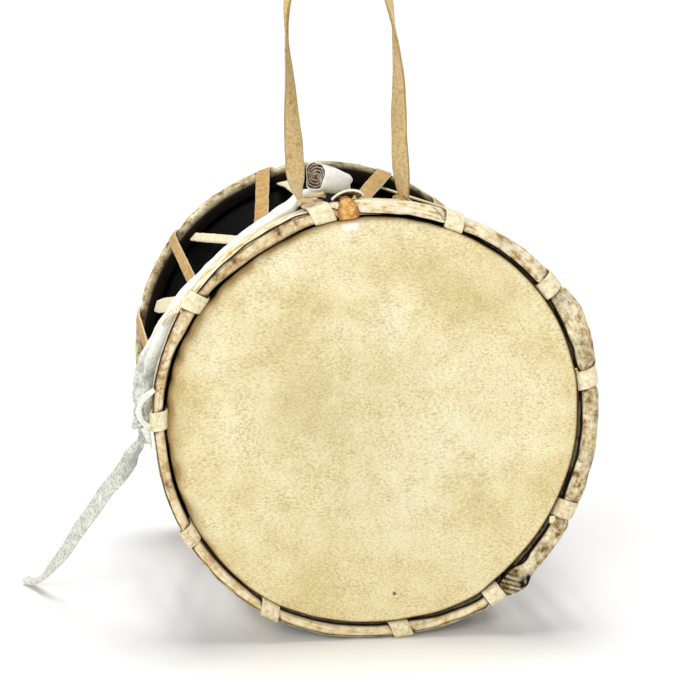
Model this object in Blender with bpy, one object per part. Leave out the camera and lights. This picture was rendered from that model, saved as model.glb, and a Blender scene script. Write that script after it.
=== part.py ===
# Hourglass hand drum with laced heads, resting on its two hoops.
# The drum's axis runs along Y, the near head faces -Y, and Z is up. The origin is on
# the floor below the middle of the drum's box. Lengths are in metres. Angles are in
# degrees about the axis, from +X towards +Z. A depth is measured from a skin's face
# inwards.
from math import cos, pi, radians, sin, sqrt

import bpy
import numpy as np

MM = 0.001

# Heads: skin pulled over the shell's rim, turned out under the hoop and lapped round it
HEAD_SPACING = 197.2 * MM        # between the outer faces of the two skins
HEAD_RADIUS = 81.3 * MM          # outside of the skin where it comes down the rim
HEAD_EDGE_RADIUS = 4.0 * MM      # rounding of the skin over the rim
HIDE_THICKNESS = 0.9 * MM
HIDE_TURN_DEPTH = 9.0 * MM       # where the hide turns out under the hoop
LAP_TOP_DEPTH = 4.0 * MM         # where the lap outside the hoop ends
BUNCH_ANGLE = 312.0              # hide gathered over the joint of the near hoop
BUNCH_SPREAD = 6.0
BUNCH_HEIGHT = 2.8 * MM

# Hoops: bent cane of uneven thickness, as (angle, diameter) round each hoop
HOOP_FACE_DEPTH = 0.4 * MM       # the cane's face lies this far behind the skin's face
NEAR_HOOP_DIAMETERS = (
    (0, 5.4 * MM), (25, 7.0 * MM), (50, 6.4 * MM), (75, 5.0 * MM), (105, 5.0 * MM),
    (138, 6.0 * MM), (162, 4.8 * MM), (190, 3.4 * MM), (235, 4.0 * MM),
    (270, 4.1 * MM), (290, 4.4 * MM), (318, 6.0 * MM), (345, 5.8 * MM))
FAR_HOOP_DIAMETERS = (
    (0, 5.6 * MM), (60, 5.4 * MM), (120, 5.6 * MM), (180, 5.2 * MM),
    (235, 4.4 * MM), (270, 4.1 * MM), (305, 4.6 * MM))

# Shell: turned wooden hourglass, open from end to end through its narrow waist
WAIST_RADIUS = 36.0 * MM
WAIST_BORE_RADIUS = 24.0 * MM
RIM_WALL = 6.0 * MM
RIM_BAND = 9.0 * MM              # straight band at each rim
NECK_HALF_LENGTH = 30.0 * MM     # the shell is made in three rings, which meet beside the waist

# Lacing: one flat leather thong that zigzags from hoop to hoop
THONG_WIDTH = 7.4 * MM
THONG_THICKNESS = 1.1 * MM
THONG_CLEARANCE = 0.45 * MM
SLOT_MARGIN = 0.4 * MM           # room beside the thong in the hide's slots
NEAR_TURNS = (104.2, 122.9, 144.5, 177.0, 210.6, 240.0, 277.0, 304.0, 333.6, 370.4, 397.5, 428.2, 457.0)
FAR_TURNS = (105.0, 140.0, 167.0, 195.0, 228.0, 258.0, 290.0, 318.0, 350.0, 385.0, 410.0, 430.0)
HIDDEN_TURN = 122.9              # this turn goes through the hide behind the hoop
BELTED_TURNS = (122.9, 144.5, 177.0)   # the belt presses the legs at these turns inwards
PRESSED_RISE = 2.9 * MM          # a pressed outer leg lies this far outside the inner legs
PRESSED_RUN = 4.2 * MM           # and comes down to that over this depth
LANDING_RUN = 1.6 * MM           # a leg ends this far behind the hide's turn
MITER_LIMIT = 1.3                # at most this much thicker at a sharp bend

# White belt of soft leather, laid round the lacing behind the near hoop
BELT_WIDTH = 12.0 * MM
BELT_THICKNESSES = (
    (100, 4.6 * MM), (107, 4.6 * MM), (111, 6.0 * MM), (118, 4.3 * MM), (138, 3.9 * MM),
    (150, 6.0 * MM), (158, 7.7 * MM), (166, 9.6 * MM), (173, 9.4 * MM), (179, 7.9 * MM))
BELT_ENDS = (100.5, 179.0)
BELT_STATIONS = 17
BELT_CROWDING = 1.25             # the stations lie closer together at the climb
BELT_CLIMB = (106.5, 111.5)      # between these angles it climbs over the first leg
ROLL_RADIUS = 5.5 * MM           # the belt's upper end is rolled up
ROLL_END_RADIUS = 4.4 * MM
ROLL_LENGTH = 16.5 * MM
ROLL_ANGLE = 103.1
ROLL_LIFT = 9.9 * MM             # the roll's open end, outside the lacing's first leg
ROLL_SETBACK = 3.7 * MM          # its face lies this far behind the hide's turn
ROLL_HEADING = (0.76, 0.60, -0.24)

# Small ties
CLEARANCE = 0.3 * MM             # between pieces that touch
TIE_THICKNESS = 1.6 * MM         # round thongs of the small ties
TAIL_KNOT_ANGLE = 178.5
TAIL_KNOT_SIZE = (4.8 * MM, 10.0 * MM, 9.0 * MM)      # outwards, along the axis, around
STRAP_KNOT_ANGLES = (109.2, 82.0)
STRAP_KNOT_SIZE = (5.2 * MM, 7.0 * MM, 8.0 * MM)
TIE_LOOP = ((169.6, 0.4, -1.9), (171.4, 3.0, -1.7), (173.2, 5.0, -1.0), (175.2, 5.7, -0.6),
            (177.0, 5.2, -0.8), (178.3, 3.8, -1.4), (179.4, 1.4, -2.1))
TOP_LOOP = ((100.6, 2.8, 6.2), (99.6, 3.8, 6.4), (98.2, 4.4, 6.6), (96.8, 4.4, 6.6),
            (95.4, 3.8, 6.4), (94.4, 2.8, 6.2))

# Hanging strap and the belt's tail, each a list of points along its route, in
# millimetres from the floor below the middle of the drum's axis
CORD_RADIUS = 2.0 * MM
CORD_SPACING = 10.0 * MM
STRAP_ROUTE = (
    (-29.8, -93.0, 179.2), (-30.6, -93.2, 183.0), (-31.2, -93.0, 192.0), (-31.5, -92.6, 202.0),
    (-32.3, -91.8, 216.0), (-33.4, -90.8, 232.0), (-33.6, -90.2, 244.0), (-33.2, -89.6, 254.0),
    (-30.0, -89.0, 265.5), (-22.6, -88.6, 273.2), (-13.4, -88.2, 275.8), (-4.4, -88.0, 272.6),
    (2.4, -87.8, 264.4), (6.2, -87.6, 253.4), (8.6, -87.4, 241.0), (9.8, -87.0, 228.0),
    (10.4, -86.6, 214.0), (10.9, -86.2, 202.0), (11.4, -85.8, 190.0), (12.2, -85.4, 181.6),
    (12.6, -85.3, 178.6))
TAIL_ROUTE = (
    (-91.6, -89.5, 82.6), (-92.0, -88.9, 80.2), (-94.5, -86.3, 76.6), (-99.2, -77.4, 67.2),
    (-107.0, -62.6, 54.0), (-113.9, -49.5, 41.4), (-120.9, -36.4, 27.8), (-127.0, -24.6, 16.6),
    (-132.2, -14.6, 8.8), (-136.0, -7.2, 4.6), (-139.0, -1.4, 2.6), (-141.2, 3.0, 2.3))

AXIS_X = 2.0 * MM                # the belt stands out at the left of the drum
FLAT_DEPTH = 0.5 * MM            # cut from the lowest line of the lapped hoops
SEGMENTS = 48                    # facets round the drum
CANE_SIDES = 7


def interpolate(table, angle, period=None):
    """Value at an angle between (angle, value) pairs, eased between them."""
    angles = [pair[0] for pair in table]
    values = [pair[1] for pair in table]
    if period:
        angle = (angle - angles[0]) % period + angles[0]
        angles.append(angles[0] + period)
        values.append(values[0])
    angle = min(max(angle, angles[0]), angles[-1])
    place = min(np.searchsorted(angles, angle, side="right"), len(angles) - 1)
    share = (angle - angles[place - 1]) / (angles[place] - angles[place - 1])
    ease = (1 - cos(pi * share)) / 2
    return values[place - 1] + ease * (values[place] - values[place - 1])


HOOP_INNER = HEAD_RADIUS + THONG_THICKNESS + 2 * THONG_CLEARANCE
INNER_TRACK = HEAD_RADIUS + THONG_CLEARANCE + THONG_THICKNESS / 2
TURN_BACK_DEPTH = HIDE_TURN_DEPTH + HIDE_THICKNESS
PRESSED_TRACK = INNER_TRACK + PRESSED_RISE
BELT_INNER = PRESSED_TRACK + THONG_THICKNESS / 2 + CLEARANCE
BELT_FRONT_DEPTH = TURN_BACK_DEPTH + PRESSED_RUN + 2 * CLEARANCE
BELT_DEPTH = BELT_FRONT_DEPTH + BELT_WIDTH / 2
ROLL_FACE_DEPTH = TURN_BACK_DEPTH + ROLL_SETBACK


class End:
    """One end of the drum: its side along Y and its hoop's thickness by angle."""

    def __init__(self, side, diameters, bunch):
        self.side = side
        self.diameters = diameters
        self.bunch = bunch

    def cane_radius(self, angle):
        return interpolate(self.diameters, angle, 360) / 2

    def cane_outer(self, angle):
        return HOOP_INNER + 2 * self.cane_radius(angle)

    def lap_inner(self, angle):
        return self.cane_outer(angle) + CLEARANCE

    def lap_outer(self, angle):
        offset = (angle - BUNCH_ANGLE + 180) % 360 - 180
        gathered = self.bunch * np.exp(-(offset / BUNCH_SPREAD) ** 2)
        return self.lap_inner(angle) + HIDE_THICKNESS + gathered

    def thong_outer_track(self, angle):
        return self.cane_outer(angle) + THONG_CLEARANCE + THONG_THICKNESS / 2

    def thong_surface(self, angle):
        return self.thong_outer_track(angle) + THONG_THICKNESS / 2

    def y(self, depth):
        return self.side * (HEAD_SPACING / 2 - depth)


NEAR = End(-1, NEAR_HOOP_DIAMETERS, BUNCH_HEIGHT)
FAR = End(1, FAR_HOOP_DIAMETERS, 0.0)
LOWEST = 270.0
AXIS_HEIGHT = min(NEAR.lap_outer(LOWEST), FAR.lap_outer(LOWEST)) - FLAT_DEPTH


def around(angle, radius, y):
    """Point at an angle and a radius about the drum's axis."""
    turn = radians(angle)
    return np.array([AXIS_X + radius * cos(turn), y, AXIS_HEIGHT + radius * sin(turn)])


def tangent(angle):
    turn = radians(angle)
    return np.array([-sin(turn), 0.0, cos(turn)])


def outward(angle):
    turn = radians(angle)
    return np.array([cos(turn), 0.0, sin(turn)])


def material(name, color, roughness):
    made = bpy.data.materials.new(name)
    made.use_nodes = True
    shader = made.node_tree.nodes["Principled BSDF"]
    shader.inputs["Base Color"].default_value = (*color, 1.0)
    shader.inputs["Roughness"].default_value = roughness
    shader.inputs["Metallic"].default_value = 0.0
    return made


def loft(name, rows, surface, closed=False, sharp=35.0):
    """Solid through rows of points. Each row is a closed ring of as many points.
    The rows' ends are capped, or the last row joins the first where closed."""
    rows = np.asarray(rows, dtype=float)
    count, ring = rows.shape[:2]
    index = np.arange(count * ring).reshape(count, ring)
    faces = []
    for row in range(count if closed else count - 1):
        following = (row + 1) % count
        for column in range(ring):
            beside = (column + 1) % ring
            faces.append((index[row, column], index[row, beside],
                          index[following, beside], index[following, column]))
    if not closed:
        faces.append(tuple(index[0][::-1]))
        faces.append(tuple(index[-1]))
    points = rows.reshape(-1, 3)
    volume = 0.0
    for face in faces:
        for corner in range(1, len(face) - 1):
            a, b, c = (points[face[place]] for place in (0, corner, corner + 1))
            volume += float(np.dot(a, np.cross(b, c)))
    if volume < 0:
        faces = [face[::-1] for face in faces]
    mesh = bpy.data.meshes.new(name)
    mesh.from_pydata([tuple(point) for point in points], [], [tuple(map(int, face)) for face in faces])
    mesh.validate()
    made = bpy.data.objects.new(name, mesh)
    bpy.context.collection.objects.link(made)
    mesh.materials.append(surface)
    mesh.shade_smooth()
    mesh.set_sharp_from_angle(angle=radians(sharp))
    return made


def box_between(center, axes, sizes):
    """Eight corners of a box with its own axes, as two rings of four."""
    half = [np.asarray(axis) * size / 2 for axis, size in zip(axes, sizes)]
    rings = []
    for end in (-1, 1):
        middle = center + end * half[2]
        rings.append([middle - half[0] - half[1], middle + half[0] - half[1],
                      middle + half[0] + half[1], middle - half[0] + half[1]])
    return rings


def cutter(name, boxes):
    """Hidden helper made of separate boxes."""
    points, faces = [], []
    for rings in boxes:
        first = len(points)
        points += [tuple(point) for ring in rings for point in ring]
        corners = np.array([points[first + place] for place in (0, 1, 3, 4)])
        sides = corners[1:] - corners[0]
        order = [(0, 3, 2, 1), (4, 5, 6, 7), (0, 1, 5, 4), (1, 2, 6, 5), (2, 3, 7, 6), (3, 0, 4, 7)]
        if np.dot(np.cross(sides[0], sides[1]), sides[2]) < 0:
            order = [face[::-1] for face in order]
        faces += [tuple(first + place for place in face) for face in order]
    mesh = bpy.data.meshes.new(name)
    mesh.from_pydata(points, [], faces)
    made = bpy.data.objects.new(name, mesh)
    bpy.context.collection.objects.link(made)
    made.hide_render = True
    made.display_type = "WIRE"
    return made


def boolean(target, tool, operation="DIFFERENCE"):
    step = target.modifiers.new(tool.name, "BOOLEAN")
    step.operation = operation
    step.solver = "EXACT"
    step.object = tool


def ring_rows(profile):
    """Rows of points round the axis from a profile of (radius function, y) pairs."""
    angles = np.arange(SEGMENTS) * 360.0 / SEGMENTS
    return [[around(angle, radius(angle), y) for angle in angles] for radius, y in profile]


def fixed(radius):
    return lambda angle: radius


def head(name, end, turns, surface):
    """Stretched skin: flat face, rounded edge, skirt down the rim, turned out under
    the hoop and lapped up outside it, with slots where the thong goes through."""
    edge_center = HEAD_RADIUS - HEAD_EDGE_RADIUS
    profile = []
    for turn in (0, 45, 90):
        radius = edge_center + HEAD_EDGE_RADIUS * sin(radians(turn))
        depth = HEAD_EDGE_RADIUS * (1 - cos(radians(turn)))
        profile.append((fixed(radius), end.y(depth)))
    profile += [
        (fixed(HEAD_RADIUS), end.y(HIDE_TURN_DEPTH)),
        (end.lap_inner, end.y(HIDE_TURN_DEPTH)),
        (end.lap_inner, end.y(LAP_TOP_DEPTH)),
        (end.lap_outer, end.y(LAP_TOP_DEPTH)),
        (end.lap_outer, end.y(TURN_BACK_DEPTH)),
        (fixed(HEAD_RADIUS - HIDE_THICKNESS), end.y(TURN_BACK_DEPTH))]
    inner_edge = HEAD_EDGE_RADIUS - HIDE_THICKNESS
    for turn in (90, 45, 0):
        radius = edge_center + inner_edge * sin(radians(turn))
        depth = HEAD_EDGE_RADIUS - inner_edge * cos(radians(turn))
        profile.append((fixed(radius), end.y(depth)))
    made = loft(name, ring_rows(profile), surface)
    boxes = []
    slot_width = THONG_WIDTH + 2 * SLOT_MARGIN
    slot_depth = 2 * HIDE_THICKNESS + 2 * CLEARANCE
    turn_middle = end.y(HIDE_TURN_DEPTH + HIDE_THICKNESS / 2)
    for angle in turns:
        axes = (outward(angle), tangent(angle), (0, 1, 0))
        tracks = [INNER_TRACK]
        if angle == HIDDEN_TURN and end is NEAR:
            tracks.append(PRESSED_TRACK)
        for track in tracks:
            size = THONG_THICKNESS + 2 * THONG_CLEARANCE
            boxes.append(box_between(around(angle, track, turn_middle), axes,
                                     (size, slot_width, slot_depth)))
        if len(tracks) == 1:
            inner = end.cane_outer(angle) - CLEARANCE / 2
            outer = end.lap_outer(angle) + THONG_THICKNESS
            depths = (LAP_TOP_DEPTH - HIDE_THICKNESS, TURN_BACK_DEPTH + HIDE_THICKNESS)
            boxes.append(box_between(
                around(angle, (inner + outer) / 2, end.y(sum(depths) / 2)), axes,
                (outer - inner, slot_width, depths[1] - depths[0])))
    boolean(made, cutter(name + "_slots", boxes))
    boolean(made, floor_cut)
    return made


def hoop(name, end, surface):
    """Bent cane ring of uneven thickness whose face lies in one plane."""
    rows = []
    for angle in np.arange(SEGMENTS) * 360.0 / SEGMENTS:
        radius = end.cane_radius(angle)
        ring = []
        for side in range(CANE_SIDES):
            turn = 2 * pi * side / CANE_SIDES
            depth = HOOP_FACE_DEPTH + radius * (1 - cos(turn))
            ring.append(around(angle, HOOP_INNER + radius * (1 + sin(turn)), end.y(depth)))
        rows.append(ring)
    return loft(name, rows, surface, closed=True, sharp=50.0)


def hyperbola(waist, rim, y, rim_y):
    """Radius at a place along the axis, from the waist's at the middle to the rim's."""
    slope = sqrt(rim ** 2 - waist ** 2) / rim_y
    return sqrt(waist ** 2 + (slope * y) ** 2)


def shell_outside(y):
    rim_outer = HEAD_RADIUS - HIDE_THICKNESS - CLEARANCE
    band_y = HEAD_SPACING / 2 - HIDE_THICKNESS - CLEARANCE - RIM_BAND
    return hyperbola(WAIST_RADIUS, rim_outer, y, band_y)


def shell_bore(y):
    rim_inner = HEAD_RADIUS - HIDE_THICKNESS - CLEARANCE - RIM_WALL
    end_y = HEAD_SPACING / 2 - HIDE_THICKNESS - CLEARANCE
    return hyperbola(WAIST_BORE_RADIUS, rim_inner, y, end_y)


def waist(name, surface):
    """Middle ring of the turned shell: hyperbolic outside and bore."""
    outside = [(shell_outside(share * NECK_HALF_LENGTH), share * NECK_HALF_LENGTH)
               for share in (-1.0, -0.5, 0.0, 0.5, 1.0)]
    inside = [(shell_bore(share * NECK_HALF_LENGTH), share * NECK_HALF_LENGTH)
              for share in (1.0, 0.0, -1.0)]
    profile = [(fixed(radius), y) for radius, y in outside + inside]
    return loft(name, ring_rows(profile), surface, closed=True)


def bowl(name, end, surface):
    """End ring of the shell: hyperbolic outside up to the straight band at the rim."""
    end_y = HEAD_SPACING / 2 - HIDE_THICKNESS - CLEARANCE
    band_y = end_y - RIM_BAND
    start_y = NECK_HALF_LENGTH + CLEARANCE
    rim_outer = HEAD_RADIUS - HIDE_THICKNESS - CLEARANCE
    corner = HEAD_EDGE_RADIUS - HIDE_THICKNESS - CLEARANCE
    stations = [start_y + share * (band_y - start_y) for share in (0.0, 0.45, 1.0)]
    half = [(shell_outside(y), y) for y in stations]
    half += [(rim_outer, end_y - corner), (rim_outer - corner, end_y)]
    half += [(shell_bore(y), y) for y in (end_y, start_y)]
    profile = [(fixed(radius), end.side * y) for radius, y in half]
    return loft(name, ring_rows(profile), surface, closed=True)


def turn_points(end, angle, reach):
    """Stations where the thong goes over a hoop: up through the gap beside the skin,
    over the cane's face and down outside it to the given depth."""
    radius = end.cane_radius(angle)
    center = HOOP_INNER + radius
    center_depth = HOOP_FACE_DEPTH + radius
    track = radius + THONG_CLEARANCE + THONG_THICKNESS / 2
    stations = [(angle, INNER_TRACK, TURN_BACK_DEPTH + CLEARANCE)]
    for turn in (180, 144, 108, 72, 36, 0):
        stations.append((angle, center + track * cos(radians(turn)),
                         center_depth - track * sin(radians(turn))))
    stations.append((angle, center + track, reach))
    return stations


def hidden_points(angle):
    """Stations of the turn that goes through the hide behind the near hoop."""
    middle = (INNER_TRACK + PRESSED_TRACK) / 2
    half = (PRESSED_TRACK - INNER_TRACK) / 2
    reach = THONG_THICKNESS + CLEARANCE
    stations = [(angle, INNER_TRACK, TURN_BACK_DEPTH + CLEARANCE)]
    for turn in (180, 135, 90, 45, 0):
        stations.append((angle, middle + half * cos(radians(turn)),
                         HIDE_TURN_DEPTH - CLEARANCE / 2 - reach * sin(radians(turn))))
    stations.append((angle, PRESSED_TRACK, TURN_BACK_DEPTH + CLEARANCE))
    return stations


def strap(name, places, thickness, surface):
    """Flat thong through (point, angle) places. Its width lies along the tangent."""
    points = np.array([place for place, angle in places])
    rows = []
    for step, (point, angle) in enumerate(places):
        before = points[max(step - 1, 0)]
        after = points[min(step + 1, len(places) - 1)]
        ahead = after - point if step < len(places) - 1 else point - before
        behind = point - before if step > 0 else after - point
        ahead, behind = ahead / np.linalg.norm(ahead), behind / np.linalg.norm(behind)
        along = ahead + behind
        along /= np.linalg.norm(along)
        width = tangent(angle)
        normal = np.cross(along, width)
        normal /= np.linalg.norm(normal)
        miter = min(1 / max(float(np.dot(along, ahead)), 0.5), MITER_LIMIT)
        across = width * THONG_WIDTH / 2
        up = normal * thickness / 2 * miter
        rows.append([point - across - up, point + across - up, point + across + up, point - across + up])
    made = loft(name, rows, surface, sharp=40.0)
    boolean(made, floor_cut)
    return made


def thong_run(name, start, finish, start_end, finish_end, surface, wrapped_end=False):
    """One run of the lacing: its turn over one hoop, then straight to the other hoop,
    where it dips inside. The belt holds the legs below it down to their tracks.
    The last run also wraps over the near hoop and ends there."""
    landing = TURN_BACK_DEPTH + LANDING_RUN
    belt_back = BELT_DEPTH + BELT_WIDTH / 2
    share = (belt_back - TURN_BACK_DEPTH) / (HEAD_SPACING - 2 * TURN_BACK_DEPTH)
    if start == HIDDEN_TURN and start_end is NEAR:
        stations = hidden_points(start)
    else:
        stations = turn_points(start_end, start, TURN_BACK_DEPTH + CLEARANCE)
    if start in BELTED_TURNS and start_end is NEAR:
        stations.append((start, PRESSED_TRACK, BELT_FRONT_DEPTH - CLEARANCE))
        stations.append((start + (finish - start) * share, PRESSED_TRACK, belt_back))
    places = [(around(angle, radius, start_end.y(depth)), angle) for angle, radius, depth in stations]
    if finish in BELTED_TURNS and finish_end is NEAR:
        held = finish + (start - finish) * share
        places.append((around(held, INNER_TRACK, finish_end.y(belt_back)), held))
    if wrapped_end:
        for angle, radius, depth in turn_points(finish_end, finish, TURN_BACK_DEPTH + 2 * CLEARANCE):
            places.append((around(angle, radius, finish_end.y(depth)), angle))
    else:
        places.append((around(finish, INNER_TRACK, finish_end.y(landing)), finish))
    return strap(name, places, THONG_THICKNESS, surface)


def sweep_rows(centers, across, thickness_dir, widths, thicknesses, sides=8):
    """Rows of elliptical sections at centers with their own width and thickness."""
    rows = []
    for center, wide, thick, width, thickness in zip(
            centers, across, thickness_dir, widths, thicknesses):
        row = []
        for side in range(sides):
            turn = 2 * pi * side / sides
            row.append(center + wide * cos(turn) * width / 2 + thick * sin(turn) * thickness / 2)
        rows.append(row)
    return rows


def belt_inner(angle):
    """Inner radius of the belt, which climbs over the lacing's first leg."""
    climbed = NEAR.thong_surface(NEAR_TURNS[0]) + 2 * CLEARANCE
    share = (angle - BELT_CLIMB[0]) / (BELT_CLIMB[1] - BELT_CLIMB[0])
    share = min(max(share, 0.0), 1.0)
    return climbed + (BELT_INNER - climbed) * (1 - cos(pi * share)) / 2


def belt(name, surface):
    """Soft belt from its rolled-up end at the top round to the knot at the left."""
    shares = np.linspace(0, 1, BELT_STATIONS) ** BELT_CROWDING
    angles = [BELT_ENDS[0] + (BELT_ENDS[1] - BELT_ENDS[0]) * share for share in shares]
    thicknesses = [interpolate(BELT_THICKNESSES, angle) for angle in angles]
    centers = [around(angle, belt_inner(angle) + thickness / 2, NEAR.y(BELT_DEPTH))
               for angle, thickness in zip(angles, thicknesses)]
    across = [np.array([0.0, 1.0, 0.0])] * len(angles)
    outwards = [outward(angle) for angle in angles]
    made = loft(name, sweep_rows(centers, across, outwards, [BELT_WIDTH] * len(angles), thicknesses),
                surface, sharp=60.0)

    start = around(ROLL_ANGLE, NEAR.thong_surface(NEAR_TURNS[0]) + ROLL_LIFT, NEAR.y(ROLL_FACE_DEPTH))
    heading = np.array(ROLL_HEADING)
    heading /= np.linalg.norm(heading)
    side = np.cross(heading, (0.0, 0.0, 1.0))
    side /= np.linalg.norm(side)
    up = np.cross(side, heading)
    shares = (0.0, 0.06, 0.5, 0.85, 0.97, 1.0)
    widths = [2 * ROLL_RADIUS * 0.9, 2 * ROLL_RADIUS, 2 * ROLL_RADIUS, ROLL_RADIUS + ROLL_END_RADIUS,
              2 * ROLL_END_RADIUS * 0.85, 2 * ROLL_END_RADIUS * 0.5]
    centers = [start + heading * ROLL_LENGTH * share for share in shares]
    roll = loft(name + "_roll", sweep_rows(centers, [side] * 6, [up] * 6, widths, widths), surface)
    roll.hide_render = True
    roll.display_type = "WIRE"
    boolean(made, roll, "UNION")
    return made


def smooth_route(route, spacing):
    """Evenly spaced points on the smooth curve that passes through a route's points."""
    points = np.array(route)
    padded = np.vstack([2 * points[0] - points[1], points, 2 * points[-1] - points[-2]])
    fine = []
    for step in range(len(points) - 1):
        p0, p1, p2, p3 = padded[step:step + 4]
        for share in np.linspace(0, 1, 12, endpoint=False):
            fine.append(0.5 * (2 * p1 + (p2 - p0) * share + (2 * p0 - 5 * p1 + 4 * p2 - p3) * share ** 2
                               + (3 * p1 - p0 - 3 * p2 + p3) * share ** 3))
    fine.append(points[-1])
    fine = np.array(fine)
    lengths = np.concatenate([[0], np.cumsum(np.linalg.norm(np.diff(fine, axis=0), axis=1))])
    places = np.linspace(0, lengths[-1], max(int(round(lengths[-1] / spacing)), 3) + 1)
    return np.stack([np.interp(places, lengths, fine[:, axis]) for axis in range(3)], 1)


def tube(name, points, radius, surface, resolution=2):
    """Round tube along points, as a curve with filled caps."""
    curve = bpy.data.curves.new(name, "CURVE")
    curve.dimensions = "3D"
    curve.bevel_depth = radius
    curve.bevel_resolution = resolution
    curve.use_fill_caps = True
    spline = curve.splines.new("POLY")
    spline.points.add(len(points) - 1)
    for place, point in zip(spline.points, points):
        place.co = (*point, 1.0)
    made = bpy.data.objects.new(name, curve)
    bpy.context.collection.objects.link(made)
    curve.materials.append(surface)
    return made


def small_loop(name, places, surface):
    """Thin thong through (angle, millimetres outside the cane, depth in millimetres)."""
    route = [around(angle, NEAR.cane_outer(angle) + out * MM, NEAR.y(depth * MM))
             for angle, out, depth in places]
    return tube(name, smooth_route(route, 1.5 * TIE_THICKNESS), TIE_THICKNESS / 2, surface)


def knot(name, angle, radius, depth, size, surface):
    """Rounded knot, its size given outwards, along the axis and around."""
    center = around(angle, radius, NEAR.y(depth))
    rows = []
    for rise in (-0.96, -0.6, 0.0, 0.6, 0.96):
        spread = sqrt(1 - rise ** 2)
        ring = []
        for side in range(8):
            turn = 2 * pi * side / 8
            ring.append(center + outward(angle) * cos(turn) * spread * size[0] / 2
                        + np.array([0.0, 1.0, 0.0]) * sin(turn) * spread * size[1] / 2
                        + tangent(angle) * rise * size[2] / 2)
        rows.append(ring)
    return loft(name, rows, surface, sharp=70.0)


for old in list(bpy.data.objects):
    bpy.data.objects.remove(old, do_unlink=True)

HIDE = material("stretched_goat_hide", (0.66, 0.53, 0.30), 0.75)
CANE = material("bent_cane", (0.52, 0.36, 0.20), 0.6)
DARK_WOOD = material("blackened_wood", (0.012, 0.012, 0.014), 0.5)
PALE_THONG = material("pale_leather_thong", (0.74, 0.63, 0.42), 0.8)
TAN_THONG = material("tan_leather_thong", (0.52, 0.32, 0.12), 0.8)
WHITE_LEATHER = material("white_leather", (0.78, 0.75, 0.68), 0.85)
TAN_SUEDE = material("tan_suede", (0.60, 0.40, 0.16), 0.9)

floor_size = 4 * HEAD_RADIUS
floor_cut = cutter("below_floor", [box_between(
    np.array([0.0, 0.0, -floor_size / 2]), ((1, 0, 0), (0, 1, 0), (0, 0, 1)), (floor_size,) * 3)])

bowl("near_bowl", NEAR, DARK_WOOD)
waist("waist", DARK_WOOD)
bowl("far_bowl", FAR, DARK_WOOD)
head("near_head", NEAR, NEAR_TURNS, HIDE)
head("far_head", FAR, FAR_TURNS, HIDE)
hoop("near_hoop", NEAR, CANE)
hoop("far_hoop", FAR, CANE)

last = len(FAR_TURNS) - 1
for number, far_turn in enumerate(FAR_TURNS):
    thong_run("lacing_out_%02d" % (number + 1), NEAR_TURNS[number], far_turn, NEAR, FAR, PALE_THONG)
    thong_run("lacing_back_%02d" % (number + 1), far_turn, NEAR_TURNS[number + 1], FAR, NEAR,
              TAN_THONG, wrapped_end=number == last)

belt("white_belt", WHITE_LEATHER)
tail_knot_radius = NEAR.thong_surface(TAIL_KNOT_ANGLE) + CLEARANCE + TAIL_KNOT_SIZE[0] / 2
knot("tail_knot", TAIL_KNOT_ANGLE, tail_knot_radius,
     BELT_FRONT_DEPTH - CLEARANCE - TAIL_KNOT_SIZE[1] / 2, TAIL_KNOT_SIZE, WHITE_LEATHER)
small_loop("tail_tie", TIE_LOOP, WHITE_LEATHER)
small_loop("top_loop", TOP_LOOP, WHITE_LEATHER)

left_angle, right_angle = STRAP_KNOT_ANGLES
left_radius = NEAR.lap_outer(left_angle) + CLEARANCE + STRAP_KNOT_SIZE[0] / 2
knot("strap_knot_left", left_angle, left_radius, HIDE_TURN_DEPTH - STRAP_KNOT_SIZE[1] / 2,
     STRAP_KNOT_SIZE, TAN_SUEDE)
knot("strap_knot_right", right_angle, NEAR.lap_outer(right_angle) - STRAP_KNOT_SIZE[0] / 2,
     TURN_BACK_DEPTH + CLEARANCE + STRAP_KNOT_SIZE[1] / 2, STRAP_KNOT_SIZE, TAN_SUEDE)
foot = np.array([AXIS_X, 0.0, 0.0])
tube("hanging_strap", smooth_route(np.array(STRAP_ROUTE) * MM + foot, CORD_SPACING),
     CORD_RADIUS, TAN_SUEDE)
tube("belt_tail", smooth_route(np.array(TAIL_ROUTE) * MM + foot, CORD_SPACING),
     CORD_RADIUS, WHITE_LEATHER)
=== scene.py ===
from math import pi, radians

import bpy
import numpy as np
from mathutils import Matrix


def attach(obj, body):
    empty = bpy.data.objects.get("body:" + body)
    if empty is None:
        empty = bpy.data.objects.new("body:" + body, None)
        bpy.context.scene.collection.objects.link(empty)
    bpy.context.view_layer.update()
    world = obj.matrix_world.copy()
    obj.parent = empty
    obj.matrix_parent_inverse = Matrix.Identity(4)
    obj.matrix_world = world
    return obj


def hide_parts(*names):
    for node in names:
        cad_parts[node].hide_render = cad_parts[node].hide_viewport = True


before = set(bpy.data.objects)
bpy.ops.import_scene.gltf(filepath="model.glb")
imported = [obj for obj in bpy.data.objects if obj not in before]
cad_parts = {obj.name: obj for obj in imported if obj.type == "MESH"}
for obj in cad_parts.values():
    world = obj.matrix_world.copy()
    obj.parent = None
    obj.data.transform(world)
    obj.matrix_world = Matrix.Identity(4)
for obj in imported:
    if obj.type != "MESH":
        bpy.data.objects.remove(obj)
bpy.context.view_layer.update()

# Laced hourglass hand drum. Angles are in degrees about the drum's axis, from +X towards
# +Z. A depth is measured from a skin's face inwards. Lengths are in metres.
mm = 0.001
print("frame loaded,", len(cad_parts), "nodes")

drum = {
    "axisX": 2.0 * mm,
    "axisHeight": 88.1 * mm,
    "halfSpacing": 98.6 * mm,        # middle to a skin's face
    "hoopInner": 83.3 * mm,
    "hoopFaceDepth": 0.4 * mm,
    "turnDepth": 9.0 * mm,           # the hide turns out under the hoop
    "hideThickness": 0.9 * mm,
    "thongClearance": 0.45 * mm,
}


# small helpers for shapes

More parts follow.
